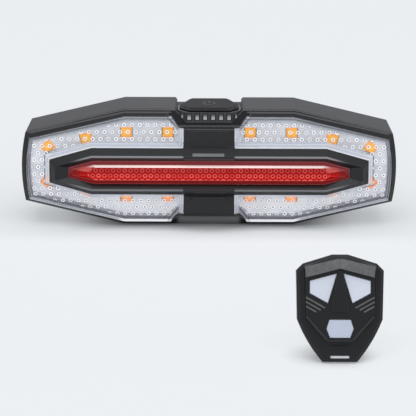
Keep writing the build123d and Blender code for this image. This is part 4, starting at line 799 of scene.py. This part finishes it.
for axis in (Vector((1.0, 0.0, 0.0)), up_the_face, out_of_face):
    along = tree.nodes.new("ShaderNodeVectorMath")
    along.operation = "DOT_PRODUCT"
    along.inputs[1].default_value = axis
    tree.links.new(from_foot.outputs["Vector"], along.inputs[0])
    face_axes.append(along.outputs["Value"])
across, up, proud = reckon(tree, "ABSOLUTE", face_axes[0]), face_axes[1], face_axes[2]
# Painted sheen on the upward brow facets and rib tops; painted shade in the crease between the facets.
brow_low, brow_low_falls, brow_high, brow_high_falls = (0.02680, 0.02690), 0.260, (0.02985, 0.02970), 0.233
brow_sides, brow_proud, crease_width, crease_shade = (0.01040, 0.01025), (0.0033, 0.0035), 0.0004, 0.82
brow = times(tree, ramp(tree, plus(tree, up, times(tree, across, brow_low_falls)), *brow_low),
             ramp(tree, plus(tree, up, times(tree, across, brow_high_falls)), *brow_high),
             ramp(tree, across, *brow_sides), ramp(tree, proud, *brow_proud))
crease = plus(tree, crease_shade, times(tree, 1.0 - crease_shade, ramp(tree, across, 0.0, crease_width)))
rib_proud, rib_inner, rib_highest = (0.00374, 0.00384), (0.0036, 0.0040), (0.0215, 0.0210)
rib_fades, rib_least, rib_share = (0.0132, 0.0142), 0.22, 0.8
rib_tops = times(tree, ramp(tree, proud, *rib_proud), ramp(tree, across, *rib_inner),
                 ramp(tree, up, *rib_highest),
                 plus(tree, rib_least, times(tree, 1.0 - rib_least, ramp(tree, up, *rib_fades))), rib_share)
speckle = add_node(tree, "ShaderNodeTexNoise", Scale=900.0, Detail=2.0)
tree.links.new(here, speckle.inputs["Vector"])
painted_sheen = blend_colours(tree, speckle.outputs["Fac"], (0.080, 0.080, 0.083, 1.0), (0.165, 0.165, 0.168, 1.0))
paint(tree, shader, either(tree, times(tree, brow, crease), rib_tops), painted_sheen)
finish_node(front_black, "remote_front_shell")
finish_node(shell_black, "remote_rear_shell")

# Remote keys: milky, slightly blue silicone; the centre one is a little deeper in colour.
# They are moulded with a flange under the shell, and their rims are paler, from wear and a painted
# highlight.
finish_node(moulded("eye_silicone", (0.66, 0.69, 0.78), 0.42, grain=700.0, depth=0.12, drift=0.16, dust=0.08,
                    wear_and_glint=0.35, worn_glint_tone=0.42), "remote_left_key", "remote_right_key")
finish_node(moulded("centre_silicone", (0.52, 0.57, 0.68), 0.42, grain=700.0, depth=0.12, drift=0.30,
                    dust=0.08, wear_and_glint=0.6, worn_glint_tone=0.78), "remote_centre_key")

# Foot plug: a pale silicone plug that closes the lanyard slot at the remote's foot; its paleness and painted
# glow stand in for the bright floor seen through the slot.
# It is moulded with round edges and pressed in flush from the front.
plug = block("foot_plug", (0.0056, 0.00080, 0.0010))
soften(plug, 0.00024, 3)
plug.rotation_euler = (math.radians(90.0) - lean, 0.0, 0.0)
plug.location = remote_foot + up_the_face * 0.001375 + out_of_face * 0.00140
settle(plug)
plug.data.materials.append(moulded("glowing_plug_silicone", (0.86, 0.88, 0.90), 0.45, grain=700.0, depth=0.1,
                                   drift=0.10, dust=0.05, wear_and_glint=0.2, worn_glint_tone=0.9,
                                   Emission_Color=(0.9, 0.93, 1.0, 1.0), Emission_Strength=0.12))
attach(plug, "remote")

# Pale floor: a wide sheet of smooth off-white card, with a painted glow in place of light from below.
# That painted light fills the open card and lifts the shade cast in front, and leaves the shadow where light
# and remote stand on it.
bpy.ops.object.select_all(action="DESELECT")
bpy.ops.mesh.primitive_plane_add(size=8.0, location=(0.0, 0.0, 0.0))
floor = bpy.context.object
floor.name = "floor"
settle(floor)
card = moulded("white_card", (0.475, 0.482, 0.485), 0.9, grain=200.0, depth=0.0, drift=0.01, dust=0.0,
               edge=0.0, wear_and_glint=0.0, Specular_IOR_Level=0.0, Emission_Strength=1.0)
tree, shader, at = overlay(card)
near, wide = [add_node(tree, "ShaderNodeAmbientOcclusion", Distance=reach) for reach in (0.011, 0.10)]
near.samples = wide.samples = 8
# Painted light: the card glows except close to where light and remote stand, fully under the light's raised
# ends, and partly around the remote.
contact, remote_front, remote_share, light_ends = (0.45, 0.88), (-0.085, -0.105), 0.62, (0.026, 0.050)
open_card = either(tree, ramp(tree, near.outputs["AO"], *contact),
                   times(tree, ramp(tree, at["Y"], *remote_front), remote_share))
open_card = either(tree, open_card, ramp(tree, reckon(tree, "ABSOLUTE", at["X"]), *light_ends))
# Painted light lifts the shade that light and remote cast on the card in front of them, away from their
# contact.
lift_share, in_front, lift_contact = 0.40, (-0.0190, -0.0330), (0.30, 0.75)
lift = times(tree, minus(tree, 1.0, wide.outputs["AO"]), lift_share, ramp(tree, at["Y"], *in_front),
             ramp(tree, near.outputs["AO"], *lift_contact))
least_light, open_light = 0.04, 0.35
lit = plus(tree, times(tree, open_card, open_light), least_light, lift)
tree.links.new(blend_colours(tree, lit, unlit, (0.94, 0.97, 1.0, 1.0)), shader.inputs["Emission Color"])
floor.data.materials.append(card)

# Studio light: one wide softbox high in front, and a strip behind that shows only as gloss.
# The world is an even pale grey, as the white walls of a photographer's tent.
world = bpy.data.worlds.new("tent")
bpy.context.scene.world = world
bpy.context.scene.view_settings.view_transform = "Standard"
world.use_nodes = True
world.node_tree.nodes["Background"].inputs["Color"].default_value = (0.94, 0.965, 1.0, 1.0)
world.node_tree.nodes["Background"].inputs["Strength"].default_value = 0.90


def softbox(name, place, aim, width, height, power):
    """A rectangular area light that looks at a point."""
    data = bpy.data.lights.new(name, "AREA")
    data.shape, data.size, data.size_y, data.energy = "RECTANGLE", width, height, power
    lamp = bpy.data.objects.new(name, data)
    bpy.context.collection.objects.link(lamp)
    lamp.location = place
    lamp.rotation_euler = (Vector(aim) - Vector(place)).to_track_quat("-Z", "Y").to_euler()
    return lamp


softbox("high_front", (0.0, -0.90, 1.85), (0.0, -0.08, 0.02), 2.0, 0.8, 8.0)
strip = softbox("back_strip", (0.0, 0.87, 0.96), (0.0, 0.0, 0.02), 1.2, 0.25, 9.0)
strip.visible_diffuse = False

# Camera: straight in front and 17 degrees above the horizon, on a long lens 1.2 m away.
# It is rolled by a fifth of a degree, as the photograph is, and its frame is square.
above_horizon, roll = math.radians(17.0), math.radians(0.22)
lens = bpy.data.cameras.new("camera")
camera = bpy.data.objects.new("camera", lens)
bpy.context.collection.objects.link(camera)
camera.location = (-0.000260, -1.16144, 0.35728)
camera.rotation_euler = (Matrix.Rotation(math.radians(90.0) - above_horizon, 3, "X")
                         @ Matrix.Rotation(roll, 3, "Z")).to_euler()
lens.sensor_width, lens.sensor_height, lens.lens = 36.0, 36.0, 323.90
lens.sensor_fit = "HORIZONTAL"
lens.clip_end = 20.0
bpy.context.scene.camera = camera
